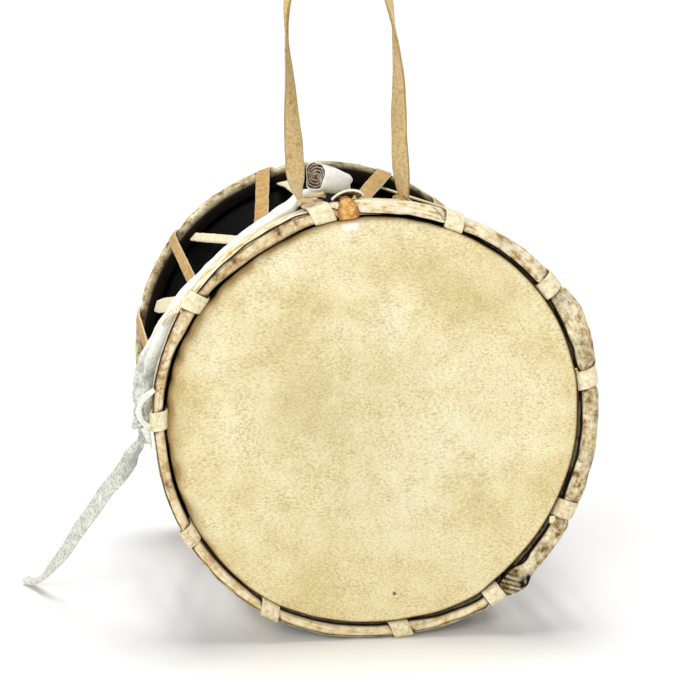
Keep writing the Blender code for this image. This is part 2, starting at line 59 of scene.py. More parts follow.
def around(angle, radius, y):
    # a point at an angle, a radius and a place along the drum's axis
    turn, radius, y = np.broadcast_arrays(np.radians(angle), radius, y)
    return np.stack([drum["axisX"] + radius * np.cos(turn), y,
                     drum["axisHeight"] + radius * np.sin(turn)], -1)


def eased(table, angle, period=360):
    # the value at an angle between (angle, value) pairs, with a half cosine between them
    places = np.array([pair[0] for pair in table], float)
    values = np.array([pair[1] for pair in table], float)
    angle = np.asarray(angle, float)
    if period:
        angle = (angle - places[0]) % period + places[0]
        places = np.append(places, places[0] + period)
        values = np.append(values, values[0])
    angle = np.clip(angle, places[0], places[-1])
    slot = np.clip(np.searchsorted(places, angle, side="right"), 1, len(places) - 1)
    share = (angle - places[slot - 1]) / (places[slot] - places[slot - 1])
    return values[slot - 1] + (1 - np.cos(pi * share)) / 2 * (values[slot] - values[slot - 1])


def ripple(seed, turn, along, turns=(1, 6), waves=(0.0, 1.0), count=14):
    # a sum of cosines with whole numbers of waves round the turn, spread about 1
    rng = np.random.default_rng(seed)
    total = 0.0
    for _ in range(count):
        whole = rng.integers(turns[0], turns[1] + 1) * rng.choice((-1, 1))
        pitch = rng.uniform(*waves) * rng.choice((-1, 1))
        total = total + np.cos(whole * turn + 2 * pi * pitch * along + rng.uniform(0, 2 * pi))
    return total / np.sqrt(count / 2)


def unit(vectors):
    # each vector divided by its length
    return vectors / np.maximum(np.linalg.norm(vectors, axis=-1, keepdims=True), 1e-12)


def smoothRoute(route, spacing):
    # evenly spaced points on the Catmull-Rom curve through a route's points
    points = np.array(route, float)
    padded = np.vstack([2 * points[0] - points[1], points, 2 * points[-1] - points[-2]])
    share = np.linspace(0, 1, 12, endpoint=False)[None, :, None]
    p0, p1, p2, p3 = (padded[step:step + len(points) - 1, None, :] for step in range(4))
    fine = 0.5 * (2 * p1 + (p2 - p0) * share + (2 * p0 - 5 * p1 + 4 * p2 - p3) * share ** 2
                  + (3 * p1 - p0 - 3 * p2 + p3) * share ** 3)
    fine = np.vstack([fine.reshape(-1, 3), points[-1:]])
    lengths = np.concatenate([[0], np.cumsum(np.linalg.norm(np.diff(fine, axis=0), axis=1))])
    places = np.linspace(0, lengths[-1], max(int(round(lengths[-1] / spacing)), 3) + 1)
    return np.stack([np.interp(places, lengths, fine[:, axis]) for axis in range(3)], 1), lengths[-1]


def headings(path):
    # the direction of a path at each of its points
    return unit(np.gradient(path, axis=0))


def gridFaces(rows, columns, wrapRows, wrapColumns):
    # one four-sided face between each two neighbouring rows and columns
    index = np.arange(rows * columns).reshape(rows, columns)
    if wrapRows:
        index = np.vstack([index, index[:1]])
    if wrapColumns:
        index = np.hstack([index, index[:, :1]])
    return np.stack([index[:-1, :-1], index[:-1, 1:], index[1:, 1:], index[1:, :-1]], -1).reshape(-1, 4)


def formMesh(name, grids, looks, nodes, body="root"):
    # joins grids of points into one mesh, faces outwards, and lets it stand for its nodes.
    # A grid is {"points", "wrap": (rows, columns), "capped", "values"}; a capped grid's
    # end rows are rings that close to their middles
    points, quads, triangles, values, start = [], [], [], {}, 0
    for grid in grids:
        place = grid["points"]
        rows, columns = place.shape[:2]
        flat = place.reshape(-1, 3)
        four = gridFaces(rows, columns, *grid["wrap"])
        three = np.zeros((0, 3), int)
        ends = []
        if grid.get("capped"):
            ring = np.arange(columns)
            for cap, row in ((0, ring[::-1]), (1, ring + (rows - 1) * columns)):
                middle = np.full(columns, rows * columns + cap)
                three = np.vstack([three, np.stack([row, np.roll(row, -1), middle], -1)])
            flat = np.vstack([flat, place[[0, -1]].mean(1)])
            ends = [0, -1]
        centred = flat - flat.mean(0)
        corners = np.vstack([four[:, [0, 1, 2]], four[:, [0, 2, 3]], three])
        a, b, c = (centred[corners[:, corner]] for corner in range(3))
        if np.einsum("ij,ij->", a, np.cross(b, c)) < 0:
            four, three = four[:, ::-1], three[:, ::-1]
        points.append(flat)
        quads.append(four + start)
        triangles.append(three + start)
        for key, value in grid.get("values", {}).items():
            value = np.broadcast_to(value, (rows, columns))
            whole = np.concatenate([value.ravel()] + [[value[end].mean()] for end in ends])
            values.setdefault(key, []).append(whole)
        start += len(flat)
    faces = np.vstack(quads).tolist() + np.vstack(triangles).tolist()
    mesh = bpy.data.meshes.new(name)
    mesh.from_pydata(np.vstack(points).tolist(), [], faces)
    for key, parts in values.items():
        layer = mesh.attributes.new(key, "FLOAT", "POINT")
        layer.data.foreach_set("value", np.concatenate(parts).astype(np.float32))
    mesh.shade_smooth()
    mesh.materials.append(looks)
    made = bpy.data.objects.new(name, mesh)
    bpy.context.collection.objects.link(made)
    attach(made, body)
    if nodes:
        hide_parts(*nodes)
    return made


# small helpers for materials

def toLinear(hexColour):
    # each sRGB channel: a straight line below 0.04045, above it a power of 2.4
    channels = [int(hexColour[place:place + 2], 16) / 255 for place in (1, 3, 5)]
    return tuple(c / 12.92 if c <= 0.04045 else ((c + 0.055) / 1.055) ** 2.4
                 for c in channels) + (1.0,)


def newMaterial(name, roughness, specular=0.3):
    # a material with a fixed roughness and specular level, its node tree and its shader
    made = bpy.data.materials.new(name)
    made.use_nodes = True
    shader = made.node_tree.nodes["Principled BSDF"]
    shader.inputs["Roughness"].default_value = roughness
    shader.inputs["Specular IOR Level"].default_value = specular
    return made, made.node_tree, shader


def addNode(tree, kind, inputs, result=None, stops=None, **settings):
    # adds a node with its settings and links. An input is a number, a hex colour or the socket
    # that it is linked from, and result says which output to give back
    node = tree.nodes.new("ShaderNode" + kind)
    for key, value in settings.items():
        setattr(node, key, value)
    for key, value in inputs.items():
        if isinstance(value, bpy.types.NodeSocket):
            tree.links.new(value, node.inputs[key])
        else:
            node.inputs[key].default_value = toLinear(value) if isinstance(value, str) else value
    if stops:
        ramp = node.color_ramp
        while len(ramp.elements) < len(stops):
            ramp.elements.new(0.5)
        for element, (position, colour) in zip(ramp.elements, stops):
            element.position = position
            element.color = toLinear(colour)
    return node if result is None else node.outputs[result]


# materials

def streaks(tree, place, across, alongScale, acrossScale, detail):
    # noise drawn out along a hoop: fine across its section, long round the drum. The fourth
    # dimension keeps it free of a seam
    axes = addNode(tree, "SeparateXYZ", {0: place})
    fine = addNode(tree, "CombineXYZ", {0: across, 1: axes.outputs[1]}, 0)
    fine = addNode(tree, "VectorMath", {0: fine, 1: (acrossScale,) * 3}, 0, operation="MULTIPLY")
    long = addNode(tree, "CombineXYZ", {2: axes.outputs[0]}, 0)
    long = addNode(tree, "VectorMath", {0: long, 1: (alongScale,) * 3}, 0, operation="MULTIPLY")
    both = addNode(tree, "VectorMath", {0: fine, 1: long}, 0, operation="ADD")
    fourth = addNode(tree, "Math", {0: axes.outputs[2], 1: alongScale}, 0, operation="MULTIPLY")
    return addNode(tree, "TexNoise", {"Vector": both, "W": fourth, "Scale": 1.0, "Detail": detail,
                                      "Roughness": 0.6}, "Fac", noise_dimensions="4D")


def stretchedHide():
    # dry goat rawhide, scraped and sun-dried: matte cream, greyer and greenish in the handled
    # middle, darker towards the bottom from painted shade, a pebbled grain of fine pores that lies
    # with the hair, painted darker in its hollows and lighter on its tops, brown going to near black
    # where it bends over the rim, partly darker hide and partly painted shade; at the lap it is raw,
    # grey-brown and streaked round the hoop, or a pale flap, darkened by painted shade in its folds,
    # its gaps and under the hoop
    made, tree, shader = newMaterial("goatRawhide", 0.82, 0.1)
    place = addNode(tree, "TexCoord", {}, "Object")
    rim, lap, worn, pale, outward = (addNode(tree, "Attribute", {}, "Fac", attribute_name=name)
                                     for name in ("rim", "lap", "worn", "pale", "outward"))

    patches = addNode(tree, "TexNoise", {"Vector": place, "Scale": 1 / 0.042, "Detail": 4.0,
                                         "Roughness": 0.6, "Distortion": 0.3}, "Fac")
    cream = addNode(tree, "ValToRGB", {"Fac": patches}, "Color", stops=(
        (0.35, "#d9c791"), (0.46, "#e7d7a5"), (0.56, "#f0e3b7"), (0.68, "#f4edca")))
    middle = addNode(tree, "VectorMath", {0: place, 1: (0.002, -0.0986, 0.076)}, "Value",
                     operation="DISTANCE")
    heightForShade = addNode(tree, "SeparateXYZ", {0: place}, 2)
    cloud = addNode(tree, "TexNoise", {"Vector": place, "Scale": 1 / 0.009, "Detail": 4.0,
                                       "Roughness": 0.65}, "Fac")
    # greyer in the handled middle; darker towards the bottom, painted shade; cloudy tones at random
    for source, low, high, start, end, tone in (
            (middle, 0.02, 0.07, 0.36, 0.0, "#dcd4ad"), (heightForShade, 0.075, 0.02, 0.0, 0.4, "#dcc994"),
            (cloud, 0.5, 0.75, 0.0, 0.35, "#cdb983"), (cloud, 0.48, 0.25, 0.0, 0.3, "#f4ecce")):
        share = addNode(tree, "MapRange", {0: source, 1: low, 2: high, 3: start, 4: end}, 0)
        cream = addNode(tree, "Mix", {0: share, 6: cream, 7: tone}, 2, data_type="RGBA")

    # grain pebbles 1.1 mm long, drawn out along the lie of the hair, which swirls
    bend = addNode(tree, "TexNoise", {"Vector": place, "Scale": 1 / 0.05, "Detail": 1.0}, "Color")
    swept = addNode(tree, "VectorMath", {0: bend, 1: (0.016, 0.0, 0.016)}, 0, operation="MULTIPLY")
    swept = addNode(tree, "VectorMath", {0: place, 1: swept}, 0, operation="ADD")
    swept = addNode(tree, "Mapping", {"Vector": swept, "Rotation": (0.0, radians(18), 0.0),
                                      "Scale": (1.0, 1.0, 1.7)}, 0)
    pebbles = addNode(tree, "TexNoise", {"Vector": swept, "Scale": 1 / 0.00125, "Detail": 2.0,
                                         "Roughness": 0.55}, "Fac")
    pores = addNode(tree, "TexVoronoi", {"Vector": swept, "Scale": 1 / 0.0013, "Randomness": 1.0},
                    "Distance", feature="F1")
    # the pebbles are darker in their hollows, painted shade, and lighter on their tops, painted highlight
    area = addNode(tree, "MapRange", {0: cloud, 1: 0.36, 2: 0.62, 3: 0.35, 4: 1.0}, 0)
    share = addNode(tree, "MapRange", {0: pebbles, 1: 0.52, 2: 0.34, 3: 0.0, 4: 0.62}, 0)
    dark = addNode(tree, "Math", {0: share, 1: area}, 0, operation="MULTIPLY")
    skin = addNode(tree, "Mix", {0: dark, 6: cream, 7: "#b79d63"}, 2, data_type="RGBA")
    share = addNode(tree, "MapRange", {0: pebbles, 1: 0.53, 2: 0.7, 3: 0.0, 4: 0.32}, 0)
    skin = addNode(tree, "Mix", {0: share, 6: skin, 7: "#fbf4d8"}, 2, data_type="RGBA")
    share = addNode(tree, "MapRange", {0: pores, 1: 0.08, 2: 0.3, 3: 0.38, 4: 0.0}, 0)
    poreShare = addNode(tree, "Math", {0: share, 1: area}, 0, operation="MULTIPLY")
    skin = addNode(tree, "Mix", {0: poreShare, 6: skin, 7: "#a08450"}, 2, data_type="RGBA")
    # one dark pore scar low on the near skin, and a chalky scuff at its top edge
    scar = addNode(tree, "VectorMath", {0: place, 1: (0.0097, -0.0986, 0.0188)}, "Value",
                   operation="DISTANCE")
    share = addNode(tree, "MapRange", {0: scar, 1: 0.0005, 2: 0.0009, 3: 0.85, 4: 0.0}, 0)
    skin = addNode(tree, "Mix", {0: share, 6: skin, 7: "#3a2c18"}, 2, data_type="RGBA")
    scuff = addNode(tree, "VectorMath", {0: place, 1: (0.0081, 0.0984, -0.1664)}, 0, operation="ADD")
    scuff = addNode(tree, "VectorMath", {0: scuff, 1: (1.0, 0.4, 2.2)}, 0, operation="MULTIPLY")
    scuff = addNode(tree, "VectorMath", {0: scuff}, "Value", operation="LENGTH")
    flecks = addNode(tree, "TexNoise", {"Vector": place, "Scale": 1 / 0.0018, "Detail": 3.0}, "Fac")
    scuff = addNode(tree, "Math", {0: flecks, 1: -0.006, 2: scuff}, 0, operation="MULTIPLY_ADD")
    share = addNode(tree, "MapRange", {0: scuff, 1: 0.0, 2: 0.0009, 3: 0.9, 4: 0.0}, 0)
    skin = addNode(tree, "Mix", {0: share, 6: skin, 7: "#fbf8ea"}, 2, data_type="RGBA")
    # the skin goes brown and then near black towards its edge and down its skirt: partly darker hide, and
    # painted shade where it bends down into the gap beside the hoop
    for low, high, most, tone in ((0.0, 0.5, 0.85, "#94733a"), (0.62, 1.0, 1.0, "#261809")):
        share = addNode(tree, "MapRange", {0: rim, 1: low, 2: high, 3: 0.0, 4: most}, 0)
        skin = addNode(tree, "Mix", {0: share, 6: skin, 7: tone}, 2, data_type="RGBA")

    fibres = streaks(tree, place, outward, 110.0, 1050.0, 4.0)
    blotch = addNode(tree, "TexNoise", {"Vector": place, "Scale": 1 / 0.0036, "Detail": 5.0,
                                        "Roughness": 0.72}, "Fac")
    blend = addNode(tree, "Math", {0: fibres, 1: 0.45, 2: 0.03}, 0, operation="MULTIPLY_ADD")
    blend = addNode(tree, "Math", {0: blotch, 1: 1.5, 2: blend}, 0, operation="MULTIPLY_ADD")
    share = addNode(tree, "MapRange", {0: blend, 1: 0.7, 2: 1.35, 3: 0.0, 4: 1.0}, 0)
    raw = addNode(tree, "ValToRGB", {"Fac": share}, "Color", stops=(
        (0.14, "#7c6238"), (0.34, "#bda679"), (0.52, "#dccba3"), (0.8, "#f6edd2")))
    lines = addNode(tree, "Math", {0: fibres, 1: 1.6, 2: blend}, 0, operation="MULTIPLY_ADD")
    share = addNode(tree, "MapRange", {0: lines, 1: 1.45, 2: 2.25, 3: 0.0, 4: 1.0}, 0)
    flap = addNode(tree, "ValToRGB", {"Fac": share}, "Color", stops=(
        (0.06, "#cfa968"), (0.26, "#eed9a6"), (0.55, "#faf0cf"), (0.85, "#fffaec")))
    raw = addNode(tree, "Mix", {0: pale, 6: raw, 7: flap}, 2, data_type="RGBA")
    # worn darkens the lap to dark brown and then near black: a little real dirt, and painted shade in its
    # folds, beside the lashings, along its lip, in the gap and inside the hoop
    raw = addNode(tree, "Mix", {0: worn, 6: raw, 7: "#1f1307"}, 2, data_type="RGBA")
    share = addNode(tree, "MapRange", {0: worn, 1: 1.1, 2: 1.7, 3: 0.0, 4: 0.9}, 0)
    raw = addNode(tree, "Mix", {0: share, 6: raw, 7: "#050405"}, 2, data_type="RGBA")
    colour = addNode(tree, "Mix", {0: lap, 6: skin, 7: raw}, 2, data_type="RGBA")
    tree.links.new(colour, shader.inputs["Base Color"])

    share = addNode(tree, "MapRange", {0: pores, 1: 0.1, 2: 0.4, 3: 0.0, 4: 0.35}, 0)
    height = addNode(tree, "Math", {0: pebbles, 1: share}, 0, operation="ADD")
    rough = addNode(tree, "Math", {0: blend, 1: lap}, 0, operation="MULTIPLY")
    height = addNode(tree, "Math", {0: rough, 1: 1.4, 2: height}, 0, operation="MULTIPLY_ADD")
    bump = addNode(tree, "Bump", {"Height": height, "Strength": 0.55, "Distance": 0.00035}, 0)
    tree.links.new(bump, shader.inputs["Normal"])
    return made


def bentCane():
    # split cane bent green into a ring: yellowish tan, smooth, with long dark fibres and scuffed
    # in places; darker along its inner and outer edges and beside the lashings, painted shade with some grime
    made, tree, shader = newMaterial("bentCane", 0.55, 0.35)
    place = addNode(tree, "TexCoord", {}, "Object")
    outward, grimeAndEdgeShade, worn = (addNode(tree, "Attribute", {}, "Fac", attribute_name=name)
                             for name in ("outward", "rim", "worn"))
    # fibres are drawn 0.8 mm apart, twice as coarse as real ones, to show in the render
    fibres = streaks(tree, place, outward, 45.0, 1250.0, 4.0)
    blotch = addNode(tree, "TexNoise", {"Vector": place, "Scale": 1 / 0.0042, "Detail": 5.0,
                                        "Roughness": 0.7}, "Fac")
    colour = addNode(tree, "ValToRGB", {"Fac": blotch}, "Color", stops=(
        (0.34, "#c8a668"), (0.45, "#e5cd9b"), (0.57, "#f3e3bb"), (0.7, "#f7eed0")))
    specks = addNode(tree, "TexNoise", {"Vector": place, "Scale": 1 / 0.0034, "Detail": 4.0,
                                        "Roughness": 0.66}, "Fac")
    dirt = addNode(tree, "Math", {0: worn, 1: 0.27, 2: specks}, 0, operation="MULTIPLY_ADD")
    for source, low, high, most, tone in (
            (fibres, 0.5, 0.72, 0.6, "#9c7a4c"), (fibres, 0.46, 0.3, 0.5, "#f6e8c8"),
            (dirt, 0.58, 0.76, 0.6, "#a27738"), (dirt, 0.7, 0.88, 0.9, "#4c2f0b")):
        share = addNode(tree, "MapRange", {0: source, 1: low, 2: high, 3: 0.0, 4: most}, 0)
        colour = addNode(tree, "Mix", {0: share, 6: colour, 7: tone}, 2, data_type="RGBA")
    # darker at its edges, by the flap's lip and by the lashings: painted shade, with some grime
    colour = addNode(tree, "Mix", {0: grimeAndEdgeShade, 6: colour, 7: "#241509"}, 2, data_type="RGBA")
    tree.links.new(colour, shader.inputs["Base Color"])
    bump = addNode(tree, "Bump", {"Height": fibres, "Strength": 0.5, "Distance": 0.0003}, 0)
    tree.links.new(bump, shader.inputs["Normal"])
    return made


def blackenedWood():
    # turned wood stained black: dull, with faint turning marks about a millimetre apart
    made, tree, shader = newMaterial("blackenedWood", 0.6, 0.08)
    place = addNode(tree, "TexCoord", {}, "Object")
    drawn = addNode(tree, "Mapping", {"Vector": place, "Scale": (60.0, 900.0, 60.0)}, 0)
    marks = addNode(tree, "TexNoise", {"Vector": drawn, "Scale": 1.0, "Detail": 3.0}, "Fac")
    stain = addNode(tree, "ValToRGB", {"Fac": marks}, "Color", stops=(
        (0.35, "#010102"), (0.55, "#050506"), (0.72, "#110f0e")))
    tree.links.new(stain, shader.inputs["Base Color"])
    bump = addNode(tree, "Bump", {"Height": marks, "Strength": 0.6, "Distance": 0.0004}, 0)
    tree.links.new(bump, shader.inputs["Normal"])
    return made


def twoSidedThong():
    # alum-tawed goat leather cut in a strip: the grain side is pale cream, the flesh side
    # warm ochre suede; its cut edges are lighter, tight turns are handled tan, and one end
    # is stained orange-brown
    made, tree, shader = newMaterial("tawedThong", 0.8, 0.2)
    place = addNode(tree, "TexCoord", {}, "Object")
    side, edge, stain, tint = (addNode(tree, "Attribute", {}, "Fac", attribute_name=name)
                               for name in ("side", "edge", "stain", "tint"))
    nap = addNode(tree, "TexNoise", {"Vector": place, "Scale": 1 / 0.0018, "Detail": 5.0, "Roughness": 0.68},
                  "Fac")
    broad = addNode(tree, "TexNoise", {"Vector": place, "Scale": 1 / 0.009, "Detail": 3.0}, "Fac")
    pale = addNode(tree, "ValToRGB", {"Fac": nap}, "Color", stops=(
        (0.3, "#cdb988"), (0.44, "#e9dcb4"), (0.6, "#f6efd2")))
    tan = addNode(tree, "ValToRGB", {"Fac": nap}, "Color", stops=(
        (0.3, "#b2946a"), (0.45, "#d5bd8e"), (0.62, "#ecdcb6")))
    warm = addNode(tree, "ValToRGB", {"Fac": nap}, "Color", stops=(
        (0.3, "#80602f"), (0.44, "#b08a50"), (0.58, "#cfac6e"), (0.72, "#e6cd9a")))
    share = addNode(tree, "MapRange", {0: broad, 1: 0.4, 2: 0.65, 3: 0.0, 4: 0.5}, 0)
    warm = addNode(tree, "Mix", {0: share, 6: warm, 7: "#d3b47a"}, 2, data_type="RGBA")
    pale = addNode(tree, "Mix", {0: tint, 6: pale, 7: tan}, 2, data_type="RGBA")
    share = addNode(tree, "MapRange", {0: side, 1: 0.4, 2: 0.6, 3: 0.0, 4: 1.0}, 0)
    colour = addNode(tree, "Mix", {0: share, 6: warm, 7: pale}, 2, data_type="RGBA")
    share = addNode(tree, "MapRange", {0: edge, 1: 0.86, 2: 0.99, 3: 0.0, 4: 0.6}, 0)
    colour = addNode(tree, "Mix", {0: share, 6: colour, 7: "#efe3c0"}, 2, data_type="RGBA")
    orange = addNode(tree, "ValToRGB", {"Fac": nap}, "Color", stops=(
        (0.32, "#9a6427"), (0.46, "#cf9747"), (0.62, "#eac183")))
    # darker towards its edges: painted shade round the folded end
    share = addNode(tree, "MapRange", {0: edge, 1: 0.5, 2: 0.97, 3: 0.0, 4: 0.75}, 0)
    orange = addNode(tree, "Mix", {0: share, 6: orange, 7: "#87551c"}, 2, data_type="RGBA")
    colour = addNode(tree, "Mix", {0: stain, 6: colour, 7: orange}, 2, data_type="RGBA")
    tree.links.new(colour, shader.inputs["Base Color"])
    bump = addNode(tree, "Bump", {"Height": nap, "Strength": 0.6, "Distance": 0.0004}, 0)
    tree.links.new(bump, shader.inputs["Normal"])
    return made


def whiteLeather():
    # soft white kid leather, much handled: greyish white with a fine crazed grain that holds
    # grey, painted shade in its folds and creases, and a brown fibrous flesh side where the sheet is rolled
    made, tree, shader = newMaterial("whiteKidLeather", 0.85, 0.15)
    place = addNode(tree, "TexCoord", {}, "Object")
    foldShade, raw, grey = (addNode(tree, "Attribute", {}, "Fac", attribute_name=name)
                       for name in ("foldShade", "raw", "grey"))
    soft = addNode(tree, "TexNoise", {"Vector": place, "Scale": 1 / 0.005, "Detail": 4.0, "Roughness": 0.6},
                   "Fac")
    grain = addNode(tree, "TexNoise", {"Vector": place, "Scale": 1 / 0.0011, "Detail": 3.0,
                                       "Roughness": 0.6}, "Fac")
    white = addNode(tree, "ValToRGB", {"Fac": soft}, "Color", stops=(
        (0.32, "#e9e8db"), (0.46, "#f7f6ec"), (0.62, "#fefdf6")))
    handled = addNode(tree, "ValToRGB", {"Fac": soft}, "Color", stops=(
        (0.32, "#cbcec0"), (0.5, "#dfe1d5"), (0.68, "#eceee4")))
    white = addNode(tree, "Mix", {0: grey, 6: white, 7: handled}, 2, data_type="RGBA")
    share = addNode(tree, "MapRange", {0: grain, 1: 0.47, 2: 0.3, 3: 0.0, 4: 0.28}, 0)
    white = addNode(tree, "Mix", {0: share, 6: white, 7: "#babcae"}, 2, data_type="RGBA")
    share = addNode(tree, "MapRange", {0: grain, 1: 0.56, 2: 0.38, 3: 0.0, 4: 0.6}, 0)
    crazed = addNode(tree, "Math", {0: share, 1: grey}, 0, operation="MULTIPLY")
    white = addNode(tree, "Mix", {0: crazed, 6: white, 7: "#8d9083"}, 2, data_type="RGBA")
    # painted shade in folds, creases and under the belt
    white = addNode(tree, "Mix", {0: foldShade, 6: white, 7: "#5f5f55"}, 2, data_type="RGBA")
    fibre = addNode(tree, "TexNoise", {"Vector": place, "Scale": 1 / 0.0016, "Detail": 4.0,
                                       "Roughness": 0.7}, "Fac")
    # the flesh side is brown, its darkest browns partly painted shade for the insides of the roll and the
    # loop
    brown = addNode(tree, "ValToRGB", {"Fac": fibre}, "Color", stops=(
        (0.36, "#2c1b0c"), (0.5, "#6b4e2c"), (0.66, "#c3a678")))
    colour = addNode(tree, "Mix", {0: raw, 6: white, 7: brown}, 2, data_type="RGBA")
    tree.links.new(colour, shader.inputs["Base Color"])
    height = addNode(tree, "Math", {0: soft, 1: 1.5, 2: grain}, 0, operation="MULTIPLY_ADD")
    bump = addNode(tree, "Bump", {"Height": height, "Strength": 0.6, "Distance": 0.0004}, 0)
    tree.links.new(bump, shader.inputs["Normal"])
    return made


def tanSuede():
    # golden suede strip, napped on both sides: speckled brown where the nap stands, pinkish
    # cream where it is rubbed, darker on one face and along its edges from painted shade
    made, tree, shader = newMaterial("goldenSuede", 0.9, 0.1)
    place = addNode(tree, "TexCoord", {}, "Object")
    edge, bleach, side = (addNode(tree, "Attribute", {}, "Fac", attribute_name=name)
                          for name in ("edge", "bleach", "side"))
    nap = addNode(tree, "TexNoise", {"Vector": place, "Scale": 1 / 0.0013, "Detail": 5.0, "Roughness": 0.72},
                  "Fac")
    gold = addNode(tree, "ValToRGB", {"Fac": nap}, "Color", stops=(
        (0.33, "#8a6530"), (0.42, "#cfa75c"), (0.52, "#edcd88"), (0.66, "#fae6b4")))
    drift = addNode(tree, "TexNoise", {"Vector": place, "Scale": 1 / 0.013, "Detail": 3.0}, "Fac")
    for low, high, most, tone in ((0.5, 0.7, 0.6, "#f0dab0"), (0.45, 0.3, 0.4, "#b08846")):
        share = addNode(tree, "MapRange", {0: drift, 1: low, 2: high, 3: 0.0, 4: most}, 0)
        gold = addNode(tree, "Mix", {0: share, 6: gold, 7: tone}, 2, data_type="RGBA")
    gold = addNode(tree, "Mix", {0: bleach, 6: gold, 7: "#efe2c2"}, 2, data_type="RGBA")
    # darker on one face and along both edges: painted shade
    share = addNode(tree, "MapRange", {0: side, 1: 0.45, 2: 0.55, 3: 0.35, 4: 0.0}, 0)
    gold = addNode(tree, "Mix", {0: share, 6: gold, 7: "#8a6632"}, 2, data_type="RGBA")
    share = addNode(tree, "MapRange", {0: edge, 1: 0.85, 2: 1.0, 3: 0.0, 4: 0.55}, 0)
    colour = addNode(tree, "Mix", {0: share, 6: gold, 7: "#84602f"}, 2, data_type="RGBA")
    tree.links.new(colour, shader.inputs["Base Color"])
    bump = addNode(tree, "Bump", {"Height": nap, "Strength": 0.6, "Distance": 0.0005}, 0)
    tree.links.new(bump, shader.inputs["Normal"])
    return made


hideLook = stretchedHide()
caneLook = bentCane()
woodLook = blackenedWood()
thongLook = twoSidedThong()
whiteLook = whiteLeather()
suedeLook = tanSuede()
print("materials made")

# camera, at the photograph's angle

camera = {
    "place": (-0.110, -0.910, 0.2501),
    "turn": (radians(80.81), 0.0, radians(-7.15)),
    "lens": 108.87,                  # on a 36 mm sensor
}
lens = bpy.data.cameras.new("studioCamera")
lens.lens = camera["lens"]
lens.sensor_width = 36.0
lens.clip_start = 0.01
viewer = bpy.data.objects.new("studioCamera", lens)
viewer.location = camera["place"]
viewer.rotation_euler = camera["turn"]
bpy.context.collection.objects.link(viewer)
bpy.context.scene.camera = viewer


# leather strips, knots and cords

stripSection = np.array(      # across and through a strip, with rounded edges
    [(-1, 0), (-.965, .62), (-.86, .95), (-.45, 1), (0, 1), (.45, 1), (.86, .95), (.965, .62),
     (1, 0), (.965, -.62), (.86, -.95), (.45, -1), (0, -1), (-.45, -1), (-.86, -.95), (-.965, -.62)])


def stripGrid(path, wide, widths, thicknesses, cup=0.0, extra=None):
    # a strip: its section is carried along a path, across the wide direction
    path, wide = np.asarray(path), np.asarray(wide)
    ahead = headings(path)
    wide = unit(wide - ahead * np.sum(wide * ahead, -1, keepdims=True))
    up = np.cross(ahead, wide)
    x = stripSection[:, 0][None, :] * np.broadcast_to(widths, len(path))[:, None] / 2
    z = stripSection[:, 1][None, :] * np.broadcast_to(thicknesses, len(path))[:, None] / 2
    z = z + np.broadcast_to(cup, len(path))[:, None] * stripSection[:, 0][None, :] ** 2
    points = path[:, None, :] + wide[:, None, :] * x[..., None] + up[:, None, :] * z[..., None]
    values = {"side": (stripSection[:, 1][None, :] + 1) / 2, "edge": np.abs(stripSection[:, 0])[None, :]}
    values.update(extra or {})
    return {"points": points, "wrap": (False, True), "capped": True, "values": values}


hangingStrap = {
    "route": ((-28.6, -93.6, 174.4), (-29.2, -93.4, 176.8), (-29.9, -93.1, 179.4), (-30.6, -93.2, 183.0),
              (-31.2, -93.0, 192.0), (-31.5, -92.6, 202.0),
              (-32.3, -91.8, 216.0), (-33.4, -90.8, 232.0), (-33.6, -90.2, 244.0), (-33.2, -89.6, 254.0),
              (-30.0, -89.0, 265.5), (-22.6, -88.6, 273.2), (-13.4, -88.2, 275.8), (-4.4, -88.0, 272.6),
              (2.4, -87.8, 264.4), (6.2, -87.6, 253.4), (8.6, -87.4, 241.0), (9.8, -87.0, 228.0),
              (10.4, -86.6, 214.0), (10.9, -86.2, 202.0), (11.4, -85.8, 190.0), (12.2, -85.4, 181.6),
              (12.6, -85.3, 178.6), (12.9, -85.3, 175.6)),
    "width": 7.5 * mm,
    "thickness": 1.3 * mm,
    # (millimetres along, how far the strip has turned from facing the front)
    "twist": ((0, 30), (13, 4), (28, 24), (45, 54), (57, 73), (70, 90), (77, 99), (85, 112), (113, 120),
              (141, 126), (151, 108), (159, 90), (169, 72), (180, 58), (194, 44), (211, 38), (221, 52)),
    # (millimetres along, share of the width): its ends draw in towards their knots
    "taper": ((0, 0.18), (4, 0.42), (9, 0.85), (13, 1.0), (210, 1.0), (217, 0.9), (222, 0.7)),
    "spacing": 1.5 * mm,
}
foot = np.array([drum["axisX"], 0.0, 0.0])
strapPath, strapLength = smoothRoute(np.array(hangingStrap["route"]) * mm + foot, hangingStrap["spacing"])
strapAlong = np.linspace(0, strapLength, len(strapPath))
strapAhead = headings(strapPath)
inPlane = unit(np.cross(np.array([0.0, 1.0, 0.0]), strapAhead))
twist = np.radians(np.interp(strapAlong / mm, *np.array(hangingStrap["twist"], float).T))
strapWide = inPlane * np.cos(twist)[:, None] + np.array([0.0, 1.0, 0.0]) * np.sin(twist)[:, None]
strapWidth = hangingStrap["width"] * (1 + 0.025 * ripple(3, 0.0, strapAlong, (1, 1), (20, 90))) \
    * np.interp(strapAlong / mm, *np.array(hangingStrap["taper"], float).T)
strapBleach = np.interp(strapAlong / mm, (0, 14, 40, 120, 150), (0.5, 0.3, 0.05, 0.05, 0.28))[:, None]
strap = formMesh("hangingStrapSuede", [stripGrid(
    strapPath, strapWide, strapWidth, hangingStrap["thickness"],
    0.25 * mm * ripple(5, 0.0, strapAlong, (1, 1), (8, 30)), {"bleach": strapBleach})],
    suedeLook, ["hanging_strap"])

